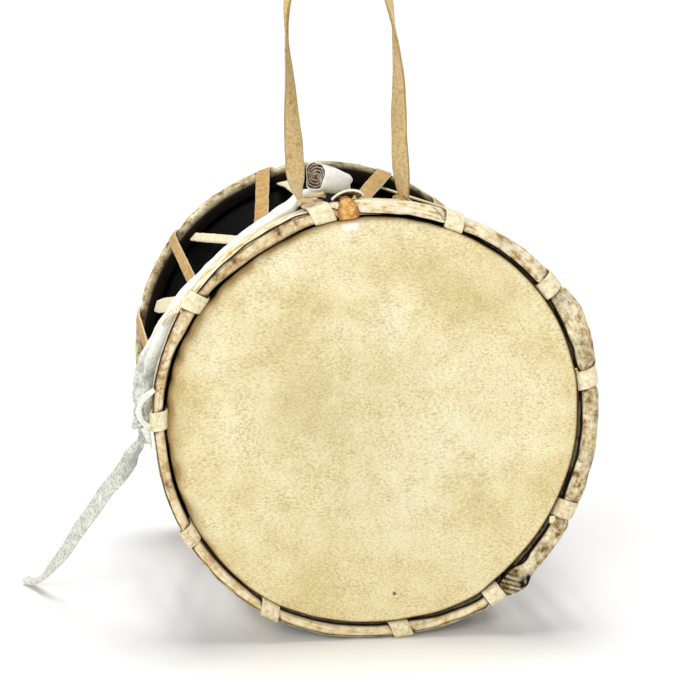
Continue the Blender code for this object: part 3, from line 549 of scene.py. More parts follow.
beltTail = {
    "route": ((-91.6, -89.5, 82.6), (-92.0, -88.9, 80.2), (-94.5, -86.3, 76.6), (-99.2, -77.4, 67.2),
              (-107.0, -62.6, 54.0), (-113.9, -49.5, 41.4), (-120.9, -36.4, 27.8), (-127.0, -24.6, 16.6),
              (-132.2, -14.6, 8.8), (-136.0, -7.2, 4.6), (-139.0, -1.4, 2.6), (-141.2, 3.0, 2.3)),
    "width": 6.2 * mm,
    "thickness": 1.2 * mm,
    # (millimetres along, direction that the strip's face looks in)
    "facing": ((0, (-0.95, -0.25, 0.15)), (5, (-0.6, -0.7, 0.4)), (12, (-0.1, -0.9, 0.4)),
               (60, (-0.1, -0.85, 0.5)), (110, (-0.05, -0.75, 0.66)), (136, (0.0, -0.6, 0.8))),
    "spacing": 1.5 * mm,
}
tailPath, tailLength = smoothRoute(np.array(beltTail["route"]) * mm + foot, beltTail["spacing"])
tailAlong = np.linspace(0, tailLength, len(tailPath))
places = np.array([pair[0] for pair in beltTail["facing"]], float)
faces = np.array([pair[1] for pair in beltTail["facing"]], float)
facing = unit(np.stack([np.interp(tailAlong / mm, places, faces[:, axis]) for axis in range(3)], 1))
tailWide = unit(np.cross(facing, headings(tailPath)))
tailWidth = beltTail["width"] * (np.interp(tailAlong / mm, (0, 4, 10, 60, 112, 128, 140),
                                           (1.0, 0.85, 1.15, 1.08, 1.0, 0.75, 0.5))
                                 + 0.02 * ripple(8, 0.0, tailAlong, (1, 1), (20, 90)))
# one side of the tail is darker near the knot: painted shade
tailShade = np.interp(tailAlong / mm, (0, 4, 11, 30), (0.1, 0.5, 0.55, 0.0))[:, None] \
    * np.clip(0.5 + 1.2 * stripSection[:, 0], 0, 1)
tail = formMesh("beltTailLeather", [stripGrid(
    tailPath, tailWide, tailWidth, beltTail["thickness"],
    0.3 * mm * ripple(9, 0.0, tailAlong, (1, 1), (8, 30)),
    {"foldShade": tailShade, "raw": 0.0, "grey": 1.0})], whiteLook, ["belt_tail"])
print("cords made", round(strapLength * 1000), round(tailLength * 1000))


# where the thong turns over each hoop: (angle, how far the turn leans to each side)

nearTurns = (104.2, 122.9, 145.1, 178.0, 210.6, 240.6, 277.2, 304.2, 334.4, 370.8, 397.8, 428.7, 457.4)
nearLeans = (1.2, 0.0, 0.9, 1.0, 0.8, 1.7, 1.3, 0.3, 0.9, 1.1, 0.8, 1.0, 0.1)
farTurns = (105.6, 140.4, 167.0, 195.0, 228.0, 258.0, 290.0, 318.0, 350.0, 385.0, 410.0, 430.0)
farLeans = (2.7, 2.4, 2.7, 1.5, 1.5, 1.5, 1.5, 1.5, 1.5, 1.5, 1.5, 0.6)
hiddenTurn = 122.9
# (angle, lean, how much less than a full width of the hoop it presses)
nearLashings = [(turn % 360, lean, 1.3 * mm if turn == nearTurns[-1] else 0.0)
                for turn, lean in zip(nearTurns, nearLeans) if turn != hiddenTurn]
farLashings = [(turn % 360, lean, 0.0) for turn, lean in zip(farTurns, farLeans)]


def squeezed(angle, lashings, slide=0.0, half=4.5 * mm, soft=0.5 * mm):
    # 1 where a lashing presses, 0 away from it: a logistic step over the arc from its middle,
    # half its width away. slide runs from -1 beside the skin to 1 outside the hoop, because
    # the lashings lean
    total = 0.0
    for lashing, lean, less in lashings:
        off = np.abs((angle - lashing - lean * slide + 180) % 360 - 180) * radians(1) * 88 * mm
        steps = np.clip((off - half + less) / soft, -40, 40)      # keeps the power finite
        total = total + 1 / (1 + np.exp(steps))
    return np.clip(total, 0, 1)


def near(angle, place, width):
    # 1 at a place round the drum, falling off to both sides as a bell curve
    return np.exp(-((((angle - place) + 180) % 360 - 180) / width) ** 2)


# the hoops were bent by hand: (angle, mm that the lapped ring stands out of round)
outOfRound = ((0, 0.2), (15, 0.7), (30, 1.6), (46, 1.1), (60, 0.3), (66, -0.2), (75, -0.3), (90, -0.4),
              (100, -0.2), (112, -0.1), (125, -0.4), (140, -0.2), (150, 0), (172, 0), (186, -0.4), (200, 0),
              (215, 0.1), (240, 0.5), (256, 0.3), (268, -0.4), (279, -0.4), (290, 0.5), (300, 0.95),
              (310, 0.2), (318, -0.1), (340, -0.5))


# where the upper left flap of the near lap ends: (angle, degrees round the cane from its outside)
flapLip = ((98, 110), (103, 48), (110, 50), (116, 54), (125, 58), (134, 66), (142, 68), (145, 50), (148, 8))


# hoops of bent cane

nearCane = ((0, 5.4), (25, 7.0), (46, 5.2), (66, 4.6), (75, 4.7), (105, 5.0), (138, 6.0), (162, 4.8),
            (190, 3.4), (235, 4.0), (270, 4.1), (290, 4.4), (318, 6.0), (345, 5.8))
farCane = ((0, 5.6), (60, 5.4), (120, 5.6), (180, 5.2), (235, 4.4), (270, 4.1), (305, 4.6))
# where the cane is scuffed: (how much, angle, degrees that it spreads)
caneScuffs = ((0.8, 194, 5), (0.85, 163, 12), (0.9, 131, 6), (0.95, 114, 10), (0.35, 224, 8), (0.6, 143, 6))


def placeY(side, depth):
    # the place along the axis that is a depth in from one skin's face
    return side * (drum["halfSpacing"] - depth)


def hoop(name, side, diameters, shift, swell, lashings, seed, node):
    # cane ring: an uneven round section carried round the drum, its face in one plane,
    # with long shallow flats and grooves along its fibres
    angle = np.linspace(0, 360, 900, endpoint=False)[:, None]
    turn = np.radians(angle)
    section = np.linspace(0, 2 * pi, 36, endpoint=False)[None, :]
    radius = eased(diameters, angle) * mm / 2
    groove = 0.5 + 0.5 * ripple(seed, turn, section / (2 * pi), (1, 5), (2, 7))
    uneven = 1 - 0.03 * np.clip(groove, 0, 2) - 0.012 \
        * (1 + ripple(seed + 1, turn, section, (6, 30), (0, 0.2)))
    rho = radius * uneven
    depth = drum["hoopFaceDepth"] + radius - rho * np.cos(section)
    out = drum["hoopInner"] + radius + rho * np.sin(section)
    # its inner edge swells towards the skin, or is hollowed
    out = out + eased(shift, angle) * mm - eased(swell, angle) * mm * np.clip(-np.sin(section), 0, 1) ** 1.5
    points = around(angle, out, placeY(side, depth))
    press = squeezed(angle, lashings, np.sin(section), 4.2 * mm, 0.25 * mm)
    # darker beside each lashing: grime and painted shade
    grimeAndShade = np.clip(press * 1.6, 0, 1) * 0.75
    # darker along the cane's inner and outer edges: painted shade
    ends = np.abs(np.sin(section)) ** 10 * 0.55
    scuffs = sum(much * near(angle, place, spread) for much, place, spread in caneScuffs)
    # a dark line on the near cane, just inside the flap's lip: the lip's painted shadow
    inFlap = (side == -1) * np.clip((angle - 103) / 2, 0, 1) * np.clip((144 - angle) / 2, 0, 1)
    fromLip = 90 - eased(flapLip, np.clip(angle, 98, 148), None) - np.degrees((section + pi) % (2 * pi) - pi)
    lipLine = inFlap * np.exp(-((fromLip - 7 - 3 * ripple(seed + 2, turn, 0.0, (10, 50))) / 6) ** 2)
    # darker on the cane's inner side, in the gap beside the skin: painted shade
    inward = eased(((20, 0.4), (90, 0.25), (200, 0.25), (222, 1.0), (335, 1.0)), angle)
    ends = np.maximum(np.maximum(ends, 0.95 * lipLine), inward * np.clip(-1.15 * np.sin(section), 0, 1) ** 5)
    values = {"outward": out - drum["hoopInner"] + 0 * turn, "rim": np.maximum(grimeAndShade, ends),
              "worn": np.clip(scuffs, 0, 1) * (0.8 + 0.3 * np.sin(section))}
    return formMesh(name, [{"points": points, "wrap": (True, True), "values": values}],
                    caneLook, [node])


nearSwell = ((0, 0.2), (80, 0.1), (90, 0.4), (106, 0.7), (118, 1.7), (128, 1.3), (141, -0.3), (152, 0.1),
             (160, -0.9), (174, -0.4), (186, 0.4), (200, 0.4), (222, 0.9), (230, 0.9), (238, -0.1),
             (244, 0.5), (250, 0.8), (260, 1.0), (270, 0.6), (280, 1.0), (290, 0.25), (300, -0.5),
             (310, -0.1), (320, 0.1), (340, 0.2))
hoop("nearHoopCane", -1, nearCane, outOfRound, nearSwell, nearLashings, 21, "near_hoop")
hoop("farHoopCane", 1, farCane, ((0, 0), (180, 0)), ((0, 0.3), (180, 0.3)), farLashings, 31, "far_hoop")
print("hoops made")

# heads

nearHead = {
    "cane": nearCane,
    "edge": ((0, 2.2), (60, 2.6), (90, 3.0), (130, 4.6), (170, 4.2), (200, 3.0), (240, 2.6), (300, 2.0),
             (330, 2.0)),
    # how wide the brown at the skin's edge is, in mm: partly painted shade where it bends down
    "brown": ((0, 1.2), (60, 1.8), (90, 2.6), (118, 4.8), (140, 6.4), (170, 6.8), (200, 6.0), (225, 3.4),
              (240, 1.4), (290, 2.0), (310, 1.2)),
    # how far the lap goes round the cane, from its outside (0) over its face (90) to its inside
    "reach": ((0, 152), (20, 152), (45, 150), (70, 150), (92, 146), *flapLip, (175, 6), (195, 8), (215, 24),
              (240, 30), (262, 30), (285, 34), (299, 50), (306, 130), (312, 150), (330, 150)),
    # how far, in degrees, its lip wanders from that
    "wander": ((0, 7), (95, 5), (104, 2.5), (140, 2.5), (150, 4), (215, 12), (290, 12), (306, 7)),
    "lap": ((0, 1.25), (15, 1.5), (28, 2.0), (46, 0.8), (66, 0.45), (90, 0.5), (104, 0.5), (146, 0.5),
            (152, 0.4), (190, 0.35), (290, 0.45), (304, 0.9), (330, 1.3), (345, 1.3)),
    "skirt": ((0, 81.8), (15, 82.8), (30, 83.4), (46, 83.2), (60, 82.6), (75, 82.0), (95, 81.8),
              (110, 81.4), (125, 80.9), (141, 81.8), (150, 82.3), (160, 82.8), (172, 82.5), (180, 82.2),
              (190, 81.6), (200, 81.6), (215, 82.3), (232, 82.9), (240, 83.0), (250, 82.3), (260, 81.8),
              (270, 81.5), (280, 81.6), (290, 82.4), (300, 82.7), (308, 81.6), (318, 81.0), (335, 80.9)),
    "shift": outOfRound,
    # 1 where the lap is a smooth pale flap, 0 where it is raw and grey-brown
    "pale": ((0, 0.1), (40, 0.25), (58, 0.6), (72, 0.95), (100, 1.0), (146, 1.0), (170, 0.5), (240, 0.55),
             (296, 0.5), (306, 0.0), (340, 0.0)),
    "bunch": (308.6, 4.0, 1.3),      # angle, spread and height of the gathered hide
    "corner": 1.6 * mm,
    # painted shade in the gap: (angle, radius, radius where it is black)
    "shadeBand": ((0, 84.0, 82.0), (180, 84.0, 82.0)),
    "lashings": nearLashings,
    "columns": 660,
    "finer": (301, 317, 84),
    "seed": 41,
}
farHead = {
    "cane": farCane,
    "edge": ((0, 3.0), (120, 3.4), (240, 2.8)),
    "brown": ((0, 2.0), (120, 3.0), (240, 1.5)),
    "reach": ((0, 100), (60, 80), (120, 110), (180, 70), (240, 90), (300, 120)),
    "wander": ((0, 7), (180, 7)),
    "lap": ((0, 0.9), (120, 0.8), (240, 0.7)),
    "skirt": ((0, 81.6), (180, 81.6)),
    "shift": ((0, 0), (180, 0)),
    "pale": ((0, 0.1), (180, 0.1)),
    "bunch": (200.0, 5.0, 0.0),
    "corner": 3.6 * mm,
    # painted shade darkens the hide inside this towards black: (angle, radius, radius where it is black)
    "shadeBand": ((20, 91.0, 83.0), (82, 90.6, 83.0), (100, 89.6, 82.8), (120, 88.9, 82.4),
                (200, 88.9, 82.4), (300, 90.0, 83.0)),
    "lashings": farLashings,
    "columns": 540,
    "finer": (300, 318, 27),
    "seed": 51,
}


def head(name, side, settings, node):
    # stretched skin. Its middle line goes from the centre out over the face, down round
    # the edge, down the skirt, out under the cane, up outside it and round over it; the
    # two sides lie half a thickness either way, and a rounded lip joins them
    columns = settings["columns"]
    first, last, close = settings["finer"]      # columns lie closer together where the hide is gathered
    angle = np.concatenate([np.linspace(last, first + 360, columns - close, endpoint=False),
                            np.linspace(first, last, close, endpoint=False)])[None, :] % 360
    turn = np.radians(angle)
    seed = settings["seed"]
    thick = drum["hideThickness"]
    edge = eased(settings["edge"], angle) * mm
    cane = eased(settings["cane"], angle) * mm / 2
    shift = eased(settings["shift"], angle) * mm
    skirt = eased(settings["skirt"], angle) * mm
    caneCentre, caneDepth = drum["hoopInner"] + cane + shift, drum["hoopFaceDepth"] + cane
    press = squeezed(angle, settings["lashings"])
    loose = eased(settings["lap"], angle) * mm
    lapThick = np.minimum(loose, 0.85 * mm) * (1 - press) * (1 + 0.1 * ripple(seed, turn, 0.0, (8, 40))) \
        + 0.3 * mm * press
    lapGap = (loose - np.minimum(loose, 0.85 * mm) + 0.12 * mm) * (1 - press) + 0.05 * mm
    lapRadius = drum["hoopInner"] + 2 * cane + shift + lapGap + lapThick / 2
    gathered = near(angle, settings["bunch"][0], settings["bunch"][1])

    share = (np.linspace(0.015, 1, 26) ** 0.85)[:, None]
    faceRadius = share * (skirt - edge)
    slack = 0.10 * mm * ripple(seed + 1, turn, faceRadius / 0.08, (1, 4), (0.3, 2.0)) * np.sin(pi * share) \
        + 0.05 * mm * ripple(seed + 2, turn, faceRadius / 0.08, (2, 12), (1, 5)) * share ** 2 \
        * (1 - share) * 4
    rows = [(faceRadius, thick / 2 + slack + 0 * turn)]
    swing = np.radians(np.linspace(6, 90, 11))[:, None]
    bend = edge - thick / 2
    rows.append((skirt - edge + bend * np.sin(swing), edge - bend * np.cos(swing)))
    inner = skirt - thick / 2
    webDepth = drum["turnDepth"] + thick / 2
    fillet = 0.8 * mm
    down = np.linspace(0.12, 1, 6)[:, None]
    pleat = 0.12 * mm * ripple(seed + 3, turn, 0.0, (20, 60)) * down
    rows.append((inner + pleat, edge + (webDepth - fillet - edge) * down))
    swing = np.radians((20, 45, 70, 90))[:, None]
    rows.append((inner + fillet * (1 - np.cos(swing)) + 0 * turn,
                 webDepth - fillet + fillet * np.sin(swing) + 0 * turn))
    corner = settings["corner"]
    out = np.linspace(0.15, 1, 6)[:, None]
    web = 0.16 * mm * ripple(seed + 4, turn, out, (8, 50), (0.2, 1.0)) * np.sin(pi * out)
    rows.append((inner + fillet + (lapRadius - corner - inner - fillet) * out, webDepth + web))
    swing = np.radians((18, 36, 54, 72, 90))[:, None]
    rows.append((lapRadius - corner + corner * np.sin(swing),
                 webDepth - corner * (1 - np.cos(swing)) + 0 * turn))
    rise = np.linspace(0.15, 1, 7)[:, None]
    rows.append((lapRadius + 0 * rise, webDepth - corner + (caneDepth - webDepth + corner) * rise))
    reach = eased(settings["reach"], angle) \
        + eased(settings["wander"], angle) * ripple(seed + 5, turn, 0.0, (9, 60)) * (1 - press)
    sweep = np.radians(np.maximum(reach, 4)) * np.linspace(0.06, 1, 22)[:, None]
    lapRing = lapRadius - caneCentre
    rows.append((caneCentre + lapRing * np.cos(sweep), caneDepth - lapRing * np.sin(sweep)))
    counts = [len(part[0]) for part in rows]
    radius = np.vstack([np.broadcast_to(part[0], (count, columns)) for part, count in zip(rows, counts)])
    depth = np.vstack([np.broadcast_to(part[1], (count, columns)) for part, count in zip(rows, counts)])
    stage = np.repeat(np.arange(len(rows)), counts)[:, None]

    alongRadius, alongDepth = np.gradient(radius, axis=0), np.gradient(depth, axis=0)
    length = np.maximum(np.hypot(alongRadius, alongDepth), 1e-9)
    sideRadius, sideDepth = alongDepth / length, -alongRadius / length
    whole = np.where(stage >= 5, lapThick, thick * np.ones_like(lapThick))
    whole = np.where(stage == 4, thick + (lapThick - thick) * 0.5, whole)
    wrapped = np.vstack([np.zeros((len(radius) - counts[-1], columns)), sweep])      # how far round the cane
    taper = np.ones(len(stage))
    taper[-5:] = (0.97, 0.92, 0.85, 0.74, 0.6)
    whole = whole * taper[:, None]
    lapRows = np.clip((stage - 4.5) * 2, 0, 1)
    alongLap = np.cumsum(length, axis=0) / 0.01
    folds = np.abs(np.sin(angle * pi / 1.9 + 9.6 * alongLap
                          + 0.5 * ripple(seed + 6, turn, alongLap, (3, 14), (0.3, 1.2)))) ** 0.7
    crumple = 0.07 * mm * ripple(seed + 7, turn, alongLap, (14, 60), (0.3, 1.6)) * (1 - press)
    hump = near(angle, settings["bunch"][0] + 3.4, 2.6)      # where the gathered hide stands up most
    bulge = settings["bunch"][2] * mm * (gathered * (0.4 + 0.42 * folds) + 1.25 * hump)
    low = np.clip((webDepth + 0.6 * mm - depth) / (2.5 * mm), 0, 1)
    outerLift = (crumple + bulge * low) * lapRows

    hairSide = (radius + sideRadius * whole / 2, depth + sideDepth * whole / 2)
    fleshSide = (radius - sideRadius * (whole / 2 + outerLift), depth - sideDepth * (whole / 2 + outerLift))
    lip = []
    for swing in np.radians((30, 90, 150)):
        half = whole[-1] / 2
        across, beyond = np.cos(swing) * half, np.sin(swing) * half * 0.8
        lip.append((radius[-1] + sideRadius[-1] * across + alongRadius[-1] / length[-1] * beyond,
                    depth[-1] + sideDepth[-1] * across + alongDepth[-1] / length[-1] * beyond))
    outside = sum(counts[:3])
    keep = np.concatenate([np.arange(0, outside, 3), np.arange(outside, len(radius))])[::-1]
    allRadius = np.vstack([hairSide[0]] + [part[0][None] for part in lip] + [fleshSide[0][keep]])
    allDepth = np.vstack([hairSide[1]] + [part[1][None] for part in lip] + [fleshSide[1][keep]])

    brownWidth = eased(settings["brown"], angle) * mm
    toEdge = np.maximum(skirt - 0.2 * mm - radius, 0)
    brown = np.clip(1 - toEdge / brownWidth, 0, 1) ** 2.2
    brown = brown * (0.88 + 0.2 * ripple(seed + 8, turn, radius / 0.004, (10, 90), (0, 0.7)))
    # a black line at the very edge, painted shade in the gap beside the hoop
    edgeShadeWidth = eased(((60, 0.9), (95, 0.3), (200, 0.3), (222, 1.0), (350, 1.0)), angle) * mm
    brown = brown + np.clip(1.3 - toEdge / edgeShadeWidth, 0, 1)
    # the skirt and all beyond it lie down in the gap and take the full dark: painted shade
    brown = np.where(stage >= 2, 1.0, np.where(stage <= 1, np.clip(brown, 0, 1), 0))
    lapShare = np.where(stage >= 3, 1.0, 0.0)
    slide = np.clip((radius - caneCentre) / lapRing, -1, 1)
    # darker beside each lashing: grime and painted shade
    grimeAndShade = np.clip(1.7 * squeezed(angle, settings["lashings"], slide, 4.2 * mm, 0.25 * mm), 0, 1) * 0.8
    # its lip is dark: painted shade along the edge of the lap
    lipStage = np.clip((np.arange(len(stage)) - (len(stage) - 4)) / 2, 0, 1)[:, None] \
        * eased(((90, 1.3), (150, 1.2), (190, 0.5), (296, 0.5), (306, 1.3)), angle)
    dirt = 0.10 + 0.14 * ripple(seed + 9, turn, alongLap, (8, 40), (0.1, 0.8)) \
        * (1 - eased(settings["pale"], angle))
    # the gathered hide is darker, and darker still in the hollows between its folds: painted shade
    dirt = dirt + 1.25 * gathered * (1 - folds) ** 1.3 + 0.26 * gathered
    patch = near(angle, settings["bunch"][0] + 4.2, 1.6) * np.clip(1.5 - np.abs(wrapped - 0.75) / 0.55, 0, 1)
    dirt = dirt + 1.7 * patch * (0.8 + 0.35 * ripple(seed + 10, turn, alongLap, (60, 200), (1, 4))) \
        * (settings["bunch"][2] > 0)
    # a slanting dark line, painted shade in the crack where one flap of hide ends on another
    dirt = dirt + 0.75 * near(angle, 72.2 + 3.0 * slide, 0.35) * (wrapped > 0.1) * (settings["bunch"][2] > 0)
    # the web and turn inside the hoop darken towards black: painted shade
    shadeFrom = eased([(place, outer) for place, outer, inner in settings["shadeBand"]], angle) * mm
    shadeTo = eased([(place, inner) for place, outer, inner in settings["shadeBand"]], angle) * mm
    shadeBand = np.clip((shadeFrom - radius) / (shadeFrom - shadeTo), 0, 1)
    shadeBand = 2.0 * np.where((stage >= 3) & (stage <= 5) & (depth > webDepth - 2.5 * mm), shadeBand, 0)
    # near black where the lap turns in round the cane's inner side: painted shade
    tubeEdge = np.clip((wrapped - 2.24) / 0.16, 0, 1)
    dirt = np.maximum(dirt, 0.5 * near(angle, 256, 40) * (stage >= 5) * (settings["bunch"][2] > 0))
    # the hide down in the gap inside the cane is dark: painted shade
    inGap = np.where((stage == 3) & (radius < caneCentre), 1.0, 0.0)
    dirt = np.clip(np.maximum.reduce([dirt + 0 * radius, grimeAndShade, lipStage + 0 * radius, shadeBand,
                                      1.3 * tubeEdge, inGap]), 0, 2)
    dirt = dirt * np.where(stage >= 3, 1, 0)
    paleShare = eased(settings["pale"], angle) * (1 - gathered) + 0 * radius
    values = {}
    for key, value in (("rim", brown), ("lap", lapShare), ("worn", dirt), ("pale", paleShare),
                       ("outward", radius - drum["hoopInner"])):
        value = np.broadcast_to(value, radius.shape)
        values[key] = np.vstack([value] + [value[-1:]] * 3 + [value[keep]])
    points = around(angle, allRadius, placeY(side, allDepth))
    return formMesh(name, [{"points": points, "wrap": (False, True), "capped": True, "values": values}],
                    hideLook, [node])


head("nearHeadHide", -1, nearHead, "near_head")
head("farHeadHide", 1, farHead, "far_head")
print("heads made")

# shell

shell = {
    "waist": 36.0 * mm,
    "waistBore": 24.0 * mm,
    "rim": 80.1 * mm,
    "rimWall": 6.0 * mm,
    "end": 97.4 * mm,                # middle to a rim
    "band": 9.0 * mm,
    "corner": 2.8 * mm,
}


def turnedShell():
    # turned hourglass: radius squared grows with the square of the way from the waist,
    # outside and in the bore; a straight band and a rounded corner at each rim
    y = np.linspace(-1, 1, 121)
    bandY = shell["end"] - shell["band"]
    outY = y * bandY
    outside = np.sqrt(shell["waist"] ** 2 + (shell["rim"] ** 2 - shell["waist"] ** 2) * y ** 2)
    swing = np.radians(np.linspace(0, 90, 7))
    cornerY = shell["end"] - shell["corner"] * (1 - np.sin(swing))
    cornerR = shell["rim"] - shell["corner"] * (1 - np.cos(swing))
    inY = np.linspace(1, -1, 61) * shell["end"]
    rimInner = shell["rim"] - shell["rimWall"]
    inside = np.sqrt(shell["waistBore"] ** 2 + (rimInner ** 2 - shell["waistBore"] ** 2)
                     * (inY / shell["end"]) ** 2)
    profileY = np.concatenate([-cornerY[::-1], outY[1:-1], cornerY, inY])
    profileR = np.concatenate([cornerR[::-1], outside[1:-1], cornerR, inside])
    marks = 0.05 * mm * np.sin(profileY / (1.6 * mm)) * np.where(np.abs(profileY) < bandY, 1, 0)
    angle = np.linspace(0, 360, 180, endpoint=False)
    points = around(angle[None, :], (profileR + marks)[:, None], profileY[:, None])
    return formMesh("turnedShell", [{"points": points, "wrap": (True, True), "values": {}}],
                    woodLook, ["near_bowl", "waist", "far_bowl"])


turnedShell()
print("shell made")

# lacing, one strip from hoop to hoop

lacing = {
    "width": 7.5 * mm,
    "thickness": 1.1 * mm,
    "innerTrack": 82.3 * mm,
    "pressedTrack": 85.2 * mm,
    "turnBack": 9.9 * mm,
    "landing": 11.5 * mm,
    "beltFront": 14.7 * mm,
    "beltBack": 26.7 * mm,
    "beltedTurns": (122.9, 145.1, 178.0),
    # (far turn number, width of the run out to it, width of the turn and run back), in mm
    "runs": ((0, 3.4, 6.6), (1, 5.0, 4.7), (2, 7.2, 5.4), (11, 6.0, 7.6)),
    # how handled and tan each near lashing is, by its angle
    "tints": ((10.4, 0.1), (37.5, 0.3), (68.2, 0.1), (104.2, 0.0), (144.5, 0.1), (177, 0.1), (210.6, 0.6),
              (240, 0.7), (277, 0.5), (304, 0.15), (333.6, 0.6)),
}


def turnStations(side, cane, angle, start, finish, lean):
    # over one hoop: up beside the skin, over the cane's face and down outside it
    radius = float(eased(cane, angle)) * mm / 2
    centre, middle = drum["hoopInner"] + radius, drum["hoopFaceDepth"] + radius
    track = radius + drum["thongClearance"] + lacing["thickness"] / 2
    swing = np.linspace(180, 0, 15)
    radii = centre + track * np.cos(np.radians(swing))
    depths = middle - track * np.sin(np.radians(swing))
    radii = np.concatenate([np.full(4, lacing["innerTrack"]), radii, np.full(4, centre + track)])
    radii = radii + float(eased(outOfRound, angle)) * mm * (side == -1)
    depths = np.concatenate([np.linspace(start, middle + 0.4 * mm, 4), depths,
                             np.linspace(middle + 0.4 * mm, finish, 4)])
    angles = angle + lean * np.linspace(-1, 1, len(radii))
    return np.stack([angles, radii, side * (drum["halfSpacing"] - depths)], 1)


def hiddenStations(angle):
    # through the hide behind the near hoop
    middle = (lacing["innerTrack"] + lacing["pressedTrack"]) / 2
    half = (lacing["pressedTrack"] - lacing["innerTrack"]) / 2
    swing = np.radians(np.linspace(180, 0, 11))
    depths = drum["turnDepth"] - 0.15 * mm - 1.4 * mm * np.sin(swing)
    radii = middle + half * np.cos(swing)
    radii = np.concatenate([[lacing["innerTrack"]], radii, [lacing["pressedTrack"]]])
    depths = np.concatenate([[lacing["turnBack"] + 0.3 * mm], depths, [lacing["turnBack"] + 0.3 * mm]])
    return np.stack([np.full(len(radii), angle), radii, -(drum["halfSpacing"] - depths)], 1)


def leg(first, last):
    # a straight stretch between two (angle, radius, y) stations, as points and angles
    count = max(int(abs(last[2] - first[2]) / (2.4 * mm)), 2)
    share = np.linspace(0, 1, count + 1)[1:-1, None]
    ends = around(np.array([first[0], last[0]]), np.array([first[1], last[1]]), np.array([first[2], last[2]]))
    return ends[0] + (ends[1] - ends[0]) * share, (first[0] + (last[0] - first[0]) * share)[:, 0]


def lacingPath():
    # every turn and leg in order, as points and as the angle that the strip faces
    points, angles = [], []
    nearY, farY = -drum["halfSpacing"], drum["halfSpacing"]
    share = (lacing["beltBack"] - lacing["turnBack"]) / (2 * drum["halfSpacing"] - 2 * lacing["turnBack"])
    stretches = []
    for number in range(len(farTurns)):
        for start, finish, side, cane in ((nearTurns[number], farTurns[number], -1, nearCane),
                                          (farTurns[number], nearTurns[number + 1], 1, farCane)):
            begin = lacing["turnBack"] + 0.3 * mm
            lean = nearLeans[number] if side == -1 else farLeans[number]
            if start == hiddenTurn and side == -1:
                stations = hiddenStations(start)
            else:
                stations = turnStations(side, cane, start, begin, begin, lean)
            if start in lacing["beltedTurns"] and side == -1:
                stations = np.vstack([stations, [
                    (start, lacing["pressedTrack"], nearY + lacing["beltFront"]),
                    (start + (finish - start) * share, lacing["pressedTrack"], nearY + lacing["beltBack"])]])
            stretches.append(stations)
            if finish in lacing["beltedTurns"] and side == 1:
                stretches.append(np.array([(finish + (start - finish) * share, lacing["innerTrack"],
                                            nearY + lacing["beltBack"])]))
            if not (number == len(farTurns) - 1 and side == 1):
                landY = (farY - lacing["landing"]) if side == -1 else (nearY + lacing["landing"])
                lean = farLeans[number] if side == -1 else nearLeans[number + 1]
                stretches.append(np.array([(finish - lean, lacing["innerTrack"], landY)]))
    stretches.append(turnStations(-1, nearCane, nearTurns[-1], lacing["turnBack"] + 0.6 * mm,
                                  lacing["turnBack"] + 0.6 * mm, nearLeans[-1]))
    for place, stations in enumerate(stretches):
        if place:
            between, facing = leg(stretches[place - 1][-1], stations[0])
            points.append(between)
            angles.append(facing)
        points.append(around(stations[:, 0], stations[:, 1], stations[:, 2]))
        angles.append(stations[:, 0])
    points, angles = np.vstack(points), np.concatenate(angles)
    for _ in range(2):      # softens the corners
        points[1:-1] = points[1:-1] * 0.5 + (points[:-2] + points[2:]) * 0.25
        angles[1:-1] = angles[1:-1] * 0.5 + (angles[:-2] + angles[2:]) * 0.25
    return points, angles


lacePath, laceAngles = lacingPath()
laceAlong = np.concatenate([[0], np.cumsum(np.linalg.norm(np.diff(lacePath, axis=0), axis=1))])
laceTurn = np.radians(laceAngles)
laceWide = np.stack([-np.sin(laceTurn), np.zeros_like(laceTurn), np.cos(laceTurn)], -1)
laceY = lacePath[:, 1]
crossings = np.flatnonzero((laceY[:-1] < 0) != (laceY[1:] < 0))      # one in the middle of each run
middles = (crossings[:-1] + crossings[1:]) // 2


def runWidths():
    # the strip was cut unevenly: each run has its own width, blended at the turns
    widths = np.full(len(crossings), lacing["width"] / mm * 0.9)
    for number, outWidth, backWidth in lacing["runs"]:
        widths[2 * number], widths[2 * number + 1] = outWidth, backWidth
    marks, values = [0.0], [widths[0]]
    for run in range(len(crossings)):
        marks += [laceAlong[crossings[run]] - 0.04, laceAlong[crossings[run]] + 0.06]
        values += [widths[run], widths[run]]
        if run + 1 < len(crossings):
            nearSide = laceY[middles[run]] < 0
            turnWidth = lacing["width"] / mm if nearSide else widths[run + 1]
            marks += [laceAlong[middles[run]] - 0.012, laceAlong[middles[run]] + 0.012]
            values += [turnWidth, turnWidth]
    return np.interp(laceAlong, marks, values) * mm


laceWidth = runWidths() * (1 + 0.02 * ripple(61, 0.0, laceAlong, (1, 1), (10, 60)))
laceWidth = np.maximum(laceWidth, np.interp(laceAlong, (0, 0.034, 0.085), (8.7, 8.7, 3.0)) * mm)
fromEnd = laceAlong[-1] - laceAlong
lastWrap = {      # the stained end, folded thick over the near hoop's top
    "length": 26 * mm,
    # (millimetres from the end, width in mm)
    "widths": ((0, 4.2), (7, 4.4), (9.5, 5.4), (12, 7.9), (14.5, 8.8), (17, 7.7), (19.5, 5.2), (22, 3.8),
               (26, 4.6)),
    "foldPlace": 14.5 * mm,
    "foldSpread": 2.9 * mm,
    "foldHeight": 1.7 * mm,
}
atEnd = fromEnd < lastWrap["length"]
wrapWidth = np.interp(fromEnd / mm, *np.array(lastWrap["widths"]).T) * mm
laceWidth = np.where(atEnd, wrapWidth, laceWidth)
foldShare = np.exp(-((fromEnd - lastWrap["foldPlace"]) / lastWrap["foldSpread"]) ** 2)
laceThick = lacing["thickness"] + np.where(atEnd, lastWrap["foldHeight"] * foldShare, 0)
laceStain = np.clip((30 * mm - fromEnd) / (4 * mm), 0, 1)[:, None]
atNear = np.clip((-laceY - 86 * mm) / (4 * mm), 0, 1)
